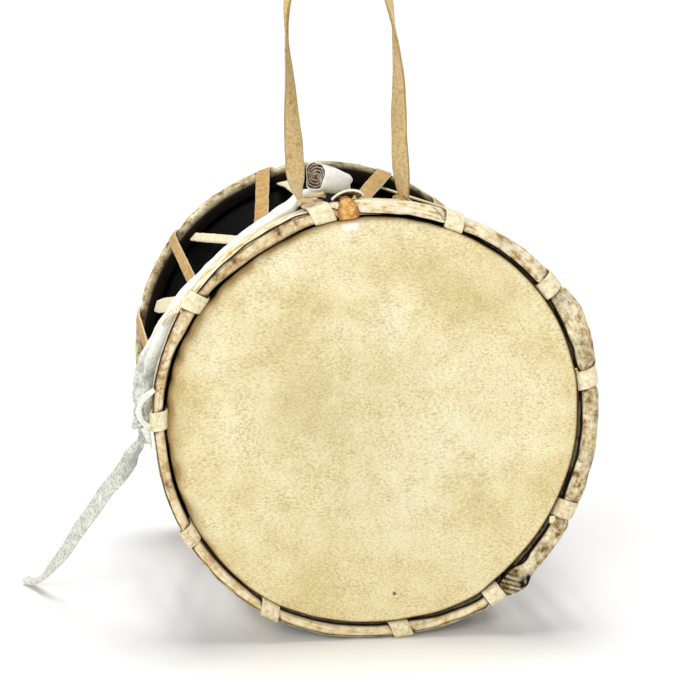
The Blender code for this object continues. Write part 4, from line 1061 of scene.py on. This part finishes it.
laceTint = np.interp(laceAngles % 360, *np.array(lacing["tints"]).T) * atNear
tongue = {      # loose thong ends at the near hoop: (angle, mm outside the hoop's inside, depth in mm)
    "belowLeft": ((148.0, 5.6, 3.0), (149.6, 7.2, 6.0), (151.8, 8.2, 9.5), (154.6, 8.4, 13.0)),
    "inRight": ((331.2, -1.4, 0.2), (330.3, -0.9, -0.3), (329.4, -0.5, -0.1)),
    "glint": ((14.2, -0.2, 0.9), (13.6, -0.3, 0.6), (13.1, -0.2, 0.9)),
    "widths": (3.6, 2.4, 1.0),
}


def tongueGrid(route, width, point):
    # a short thong end along its route, drawn in to a point if it has one
    path, _ = smoothRoute([around(angle, drum["hoopInner"] + out * mm, placeY(-1, depth * mm))
                           for angle, out, depth in route], 0.7 * mm)
    along = np.linspace(0, 1, len(path))
    turn = radians(route[0][0])
    wide = np.tile((-np.sin(turn), 0.0, np.cos(turn)), (len(path), 1))
    widths = width * mm * (1 - point * along ** 2)
    return stripGrid(path, wide, widths, 0.9 * mm, 0.0, {"stain": 0.0, "tint": 0.1})


laceNodes = ["lacing_%s_%02d" % (way, number) for number in range(1, 13) for way in ("out", "back")]
formMesh("lacingThong", [
    stripGrid(lacePath, laceWide, laceWidth, laceThick, 0.0, {"stain": laceStain, "tint": laceTint[:, None]}),
    tongueGrid(tongue["belowLeft"], tongue["widths"][0], 0.8),
    tongueGrid(tongue["inRight"], tongue["widths"][1], 0.0),
    tongueGrid(tongue["glint"], tongue["widths"][2], 0.0)],
    thongLook, laceNodes)
print("lacing made,", round(laceAlong[-1], 2), "m of thong")

# white belt, its roll and ties

belt = {
    "width": 12.0 * mm,
    "inner": 86.05 * mm,
    "climbed": 89.85 * mm + 0.6 * mm,
    "climb": (106.5, 111.5),
    "ends": (100.5, 184.4),
    # (angle, depth of its middle in mm): at the left it comes forward into the knot
    "depths": ((100, 20.7), (168, 20.7), (176, 15.5), (181, 11.0), (184.4, 9.2)),
    "thicknesses": ((100, 4.6), (107, 4.6), (111, 6.0), (118, 4.3), (138, 3.9), (150, 6.0), (158, 7.7),
                    (166, 9.6), (173, 9.2), (179, 6.6), (182, 4.6), (184.4, 3.2)),
}
roll = {
    "start": (102.7, 99.2 * mm, 12.8 * mm),      # angle, radius and depth of its open end
    "heading": (0.78, 0.58, -0.20),
    "length": 17.0 * mm,
    "radius": 5.9 * mm,
    "endRadius": 4.0 * mm,
    "sheet": 0.75 * mm,
    "pitch": 1.25 * mm,
    "turns": 4.2,
}


def beltGrid():
    # soft band: a rounded oblong section carried round the drum, with creases that wander
    # along it and wrinkles across it where it bends
    angle = np.linspace(*belt["ends"], 220)[:, None]
    section = np.linspace(0, 2 * pi, 48, endpoint=False)[None, :]
    turn = np.radians(angle)
    thick = eased(belt["thicknesses"], angle, None) * mm
    share = np.clip((angle - belt["climb"][0]) / (belt["climb"][1] - belt["climb"][0]), 0, 1)
    inner = belt["climbed"] + (belt["inner"] - belt["climbed"]) * (1 - np.cos(pi * share)) / 2
    across = np.sign(np.cos(section)) * np.abs(np.cos(section)) ** 0.8
    out = np.sign(np.sin(section)) * np.abs(np.sin(section)) ** 0.85
    crease = 0.0
    for base, sway, seed in ((0.9, 0.22, 71), (1.7, 0.3, 72), (2.35, 0.2, 73)):
        line = base + sway * ripple(seed, 0.0, turn / (2 * pi), (1, 1), (3, 9))
        crease = crease + np.exp(-((section - line) / 0.16) ** 2) * (0.5 + 0.5 * near(angle, 168, 14))
    # the bulge near the knot is crossed by short pressed folds
    wrinkle = ripple(74, 2 * section, turn / (2 * pi), (0, 2), (40, 110)) * (0.25 + near(angle, 166, 6))
    soft = ripple(75, section, turn / (2 * pi), (1, 3), (4, 14))
    onTop = np.clip(np.sin(section) * 1.5, 0, 1)
    lift = (-0.55 * crease - 0.16 * wrinkle + 0.22 * soft - 0.25) * mm * onTop
    drawn = np.clip((angle - belt["ends"][0]) / 7, 0, 1) ** 0.7 * 0.6 + 0.4      # drawn in under the roll
    rise = 2.4 * mm * np.clip((angle - 176) / 6, 0, 1)
    radius = inner + rise + thick / 2 * (0.4 + 0.6 * drawn) + (thick / 2) * drawn * out + lift * drawn
    drawn = drawn * (1 - 0.45 * np.clip((angle - 173) / 11.4, 0, 1) ** 1.2)
    y = placeY(-1, eased(belt["depths"], angle, None) * mm) + belt["width"] / 2 * across * drawn \
        * (1 - 0.03 * soft)
    # painted shade: darker under the belt, in the pressed folds near the knot and near its end
    underShade = np.clip(0.3 - np.sin(section), 0, 1) * 0.3 + 0.4 * near(angle, 170, 4) * np.clip(wrinkle, 0, 1) \
        + 0.5 * near(angle, 182.5, 1.6)
    values = {"foldShade": np.clip(crease * 0.22 * onTop + underShade, 0, 0.75), "raw": 0.0,
              "grey": np.clip((angle - 158) / 14, 0, 0.8) + 0 * section}
    return {"points": around(angle, radius, y), "wrap": (False, True), "capped": True, "values": values}


def rollGrid():
    # rolled sheet: a spiral whose radius falls with the turn, drawn out along the roll;
    # each row goes along the sheet's outer side and back along its inner side
    heading = unit(np.array(roll["heading"]))
    sideways = unit(np.cross(heading, (0.0, 0.0, 1.0)))
    up = np.cross(sideways, heading)
    start = around(roll["start"][0], roll["start"][1], -(drum["halfSpacing"] - roll["start"][2]))
    spin = np.linspace(0, roll["turns"] * 2 * pi, 150)[:, None]
    along = np.concatenate([[-0.02], np.linspace(0, 1, 12), [1.02], np.linspace(1, 0, 12)])[None, :]
    layer = np.concatenate([[0], np.full(12, 1), [0], np.full(12, -1)])[None, :] * roll["sheet"] / 2
    outer = roll["radius"] + (roll["endRadius"] - roll["radius"]) * np.clip(along, 0, 1) ** 2
    close = np.where(along > 0.9, (along - 0.9) * 8, 0)
    spiral = (outer - roll["pitch"] * spin / (2 * pi)) * (1 - 0.3 * close)
    uneven = 0.16 * mm * ripple(81, spin, along, (1, 3), (0.3, 1.5)) + 0.17 * mm * np.sin(7 * spin + 2) \
        * (spin > 6)
    radius = np.maximum(spiral, 0.3 * mm) + layer + uneven
    forward = along * roll["length"] + 0.9 * mm * ripple(82, spin, 0.0, (1, 5))
    points = start + heading * forward[..., None] \
        + sideways * (radius * np.cos(spin + 2.0))[..., None] + up * (radius * np.sin(spin + 2.0))[..., None]
    # the flesh side and all but the outermost edge of the sheet are brown
    raw = np.where(layer < 0, 1.0, 0.0) + np.where((layer == 0) & (along < 0.5), 0.6, 0.0) \
        + np.where((layer > 0) & (along < 0.3), 0.9, 0.0)
    raw = np.clip(raw * np.clip((spin - 5.2) / 1.0, 0, 1) + (layer < 0), 0, 1)
    # a dark crease line along the roll: painted shade
    crease = 0.35 * np.exp(-((spin - 1.2 - 1.1 * along) / 0.12) ** 2) * (layer > 0)
    return {"points": points, "wrap": (False, True), "capped": True,
            "values": {"foldShade": crease, "raw": raw, "grey": 0.0}}


formMesh("whiteBeltLeather", [beltGrid(), rollGrid()], whiteLook, ["white_belt"])


def thinLoop(name, places, width, thickness, faceTo, raw, node):
    # thin thong along a short route, its flat side turned to one direction
    route = [around(angle, drum["hoopInner"] + float(eased(nearCane, angle)) * mm + out * mm,
                    placeY(-1, depth * mm)) for angle, out, depth in places]
    path, length = smoothRoute(route, 0.5 * mm)
    along = np.linspace(0, length, len(path))
    wide = unit(np.cross(headings(path), faceTo))
    widths = width * (1 + 0.06 * ripple(91, 0.0, along, (1, 1), (60, 200)))
    inside = np.clip(stripSection[:, 1] * 3, 0, 1)[None, :] * (np.abs(stripSection[:, 0]) < 0.9) * raw
    return formMesh(name, [stripGrid(path, wide, widths, thickness, 0.0,
                                     {"foldShade": 0.0, "raw": inside, "grey": 0.25})],
                    whiteLook, [node])


thinLoop("tailTieThong", ((169.6, 0.4, -1.9), (171.4, 3.0, -1.7), (173.2, 5.0, -1.0), (175.2, 5.7, -0.6),
                          (177.0, 5.2, -0.8), (178.3, 3.8, -1.4), (179.4, 1.4, -2.1)), 2.1 * mm, 1.5 * mm,
         (0.2, -1.0, 0.3), 0.0, "tail_tie")
thinLoop("topLoopThong", ((100.6, 0.9, 6.0), (99.6, 1.9, 6.2), (98.4, 2.7, 6.4), (96.8, 3.3, 6.6),
                          (95.2, 3.3, 6.4),
                          (94.0, 2.5, 6.2), (93.4, 1.0, 6.0)), 4.2 * mm, 1.1 * mm,
         (0.0, 0.42, 1.0), 1.0, "top_loop")


def knotGrid(angle, radius, depth, size, width, thickness, spin, looks):
    # overhand knot: a strip along a trefoil line, sized outwards, along the axis and around
    turn = np.linspace(0.0, 2 * pi, 120)
    x = np.sin(turn) + 2 * np.sin(2 * turn)
    z = np.cos(turn) - 2 * np.cos(2 * turn)
    y = -np.sin(3 * turn)
    flat = np.stack([x * np.cos(spin) - z * np.sin(spin), x * np.sin(spin) + z * np.cos(spin)], 1) / 3.0
    centre = around(angle, radius, placeY(-1, depth))
    outwards = around(angle, 1.0, 0.0) - around(angle, 0.0, 0.0)
    sideways = np.array([-np.sin(radians(angle)), 0.0, np.cos(radians(angle))])
    path = centre + outwards * (flat[:, :1] * (size[0] / 2 - width * 0.3)) \
        + np.array([0.0, 1.0, 0.0]) * (y[:, None] * (size[1] / 2 - width * 0.3)) \
        + sideways * (flat[:, 1:] * (size[2] / 2 - width * 0.3))
    wide = unit(path - centre + 1e-5) * 0.4 + np.array([0.0, 1.0, 0.0])
    return stripGrid(path, wide, width, thickness, 0.0, looks)


tailKnot = knotGrid(178.5, 93.1 * mm, 9.4 * mm, (4.8 * mm, 10 * mm, 9 * mm), 3.4 * mm, 1.5 * mm, 0.4,
                    {"foldShade": 0.1, "raw": 0.0, "grey": 0.8})
formMesh("tailKnotLeather", [tailKnot], whiteLook, ["tail_knot"])
tieEnd = [around(angle, radius * mm, placeY(-1, depth * mm)) for angle, radius, depth in (
    (180.0, 90.6, 5.2), (181.6, 89.8, 4.4), (183.6, 89.0, 4.2), (185.6, 88.4, 4.4))]
tieEnd, _ = smoothRoute(tieEnd, 0.7 * mm)
tieWidths = 3.4 * mm * (1 - 0.85 * np.linspace(0, 1, len(tieEnd)) ** 1.4)
tieWide = np.tile((0.45, -0.2, 0.9), (len(tieEnd), 1))
tieStrip = stripGrid(tieEnd, tieWide, tieWidths, 1.0 * mm, 0.0, {"foldShade": 0.0, "raw": 0.0, "grey": 0.5})
formMesh("tieEndLeather", [tieStrip], whiteLook, [])


def crumpleGrid(route, width, faceTo, bleach):
    # a short bit of suede along a bent route of (angle, radius, depth) in mm, pulled
    # narrower at both of its ends
    path, _ = smoothRoute([around(angle, radius * mm, placeY(-1, depth * mm))
                           for angle, radius, depth in route], 0.4 * mm)
    along = np.linspace(0, 1, len(path))
    widths = width * mm * (0.45 + 0.55 * np.sin(pi * along) ** 0.7) \
        * (1 + 0.12 * ripple(95, 0.0, along, (1, 1), (1, 4)))
    return stripGrid(path, unit(np.cross(headings(path), faceTo)), widths, 0.9 * mm,
                     0.3 * mm * ripple(96, 0.0, along, (1, 1), (1, 3)), {"bleach": bleach})


leftKnot = [
    crumpleGrid(((109.4, 91.0, 4.6), (108.0, 92.8, 3.2), (106.6, 91.6, 2.0), (105.2, 92.0, 2.4)), 2.4,
                (0.1, -0.7, 0.7), 0.5),
    crumpleGrid(((108.8, 92.6, 6.4), (106.8, 93.8, 4.8), (104.8, 93.0, 3.6), (102.4, 93.4, 3.6)), 2.8,
                (0.0, -0.4, 1.0), 0.7),
    crumpleGrid(((107.6, 91.0, 7.4), (106.2, 92.4, 8.8), (104.0, 92.6, 8.4), (102.0, 91.4, 7.0)), 2.6,
                (0.2, 0.2, 1.0), 0.4),
    crumpleGrid(((106.6, 92.6, 3.8), (105.9, 91.4, 2.0), (106.4, 90.2, 1.4)), 2.0, (0.5, -1.0, 0.1), 0.55),
]
formMesh("strapKnotLeft", leftKnot, suedeLook, ["strap_knot_left"])
rightKnot = knotGrid(82.0, 87.0 * mm, 13.7 * mm, (5.2 * mm, 7 * mm, 8 * mm), 3.0 * mm, 1.4 * mm, 0.2,
                     {"bleach": 0.0})
formMesh("strapKnotRight", [rightKnot], suedeLook, ["strap_knot_right"])
print("belt and ties made")

# floor and light

studio = {
    "skyStrength": 0.33,
    "floor": "#f7f7f7",
    # name: (direction that the light comes from, strength, width in degrees)
    "suns": {"keyLight": ((-0.25, -0.88, 0.42), 1.25, 25), "sideLight": ((-1.0, -0.3, 0.4), 0.5, 70),
             "topLight": ((0.0, 0.14, 1.0), 2.0, 34)},
}
floorMesh = bpy.data.meshes.new("studioFloor")
floorMesh.from_pydata([(-60, -8, 0), (60, -8, 0), (60, 200, 0), (-60, 200, 0)], [], [(0, 1, 2, 3)])
floorLook, _, floorShader = newMaterial("matteFloorPaint", 0.95, 0.0)
floorShader.inputs["Base Color"].default_value = toLinear(studio["floor"])
floorMesh.materials.append(floorLook)
floor = bpy.data.objects.new("studioFloor", floorMesh)
bpy.context.collection.objects.link(floor)

world = bpy.data.worlds.new("studioWorld")
bpy.context.scene.world = world
world.use_nodes = True
sky = world.node_tree
# the sky is even, with a bright band along the horizon behind the floor's far edge
lookUp = addNode(sky, "SeparateXYZ", {0: addNode(sky, "TexCoord", {}, "Generated")}, 2)
glow = addNode(sky, "MapRange", {"Value": lookUp, 1: 0.03, 2: 0.08, 3: 1.05, 4: studio["skyStrength"]}, 0)
sky.links.new(glow, sky.nodes["Background"].inputs["Strength"])
for name, (source, strength, width) in studio["suns"].items():
    sun = bpy.data.lights.new(name, "SUN")
    sun.energy = strength
    sun.angle = radians(width)
    made = bpy.data.objects.new(name, sun)
    x, y, z = source
    made.rotation_euler = (np.arctan2(np.hypot(x, y), z), 0.0, np.arctan2(x, -y))
    made.location = (x, y, z)
    bpy.context.collection.objects.link(made)
sky.nodes["Background"].inputs["Color"].default_value = (1.0, 1.0, 1.0, 1.0)
bpy.context.scene.view_settings.view_transform = "Standard"

print("scene finished")
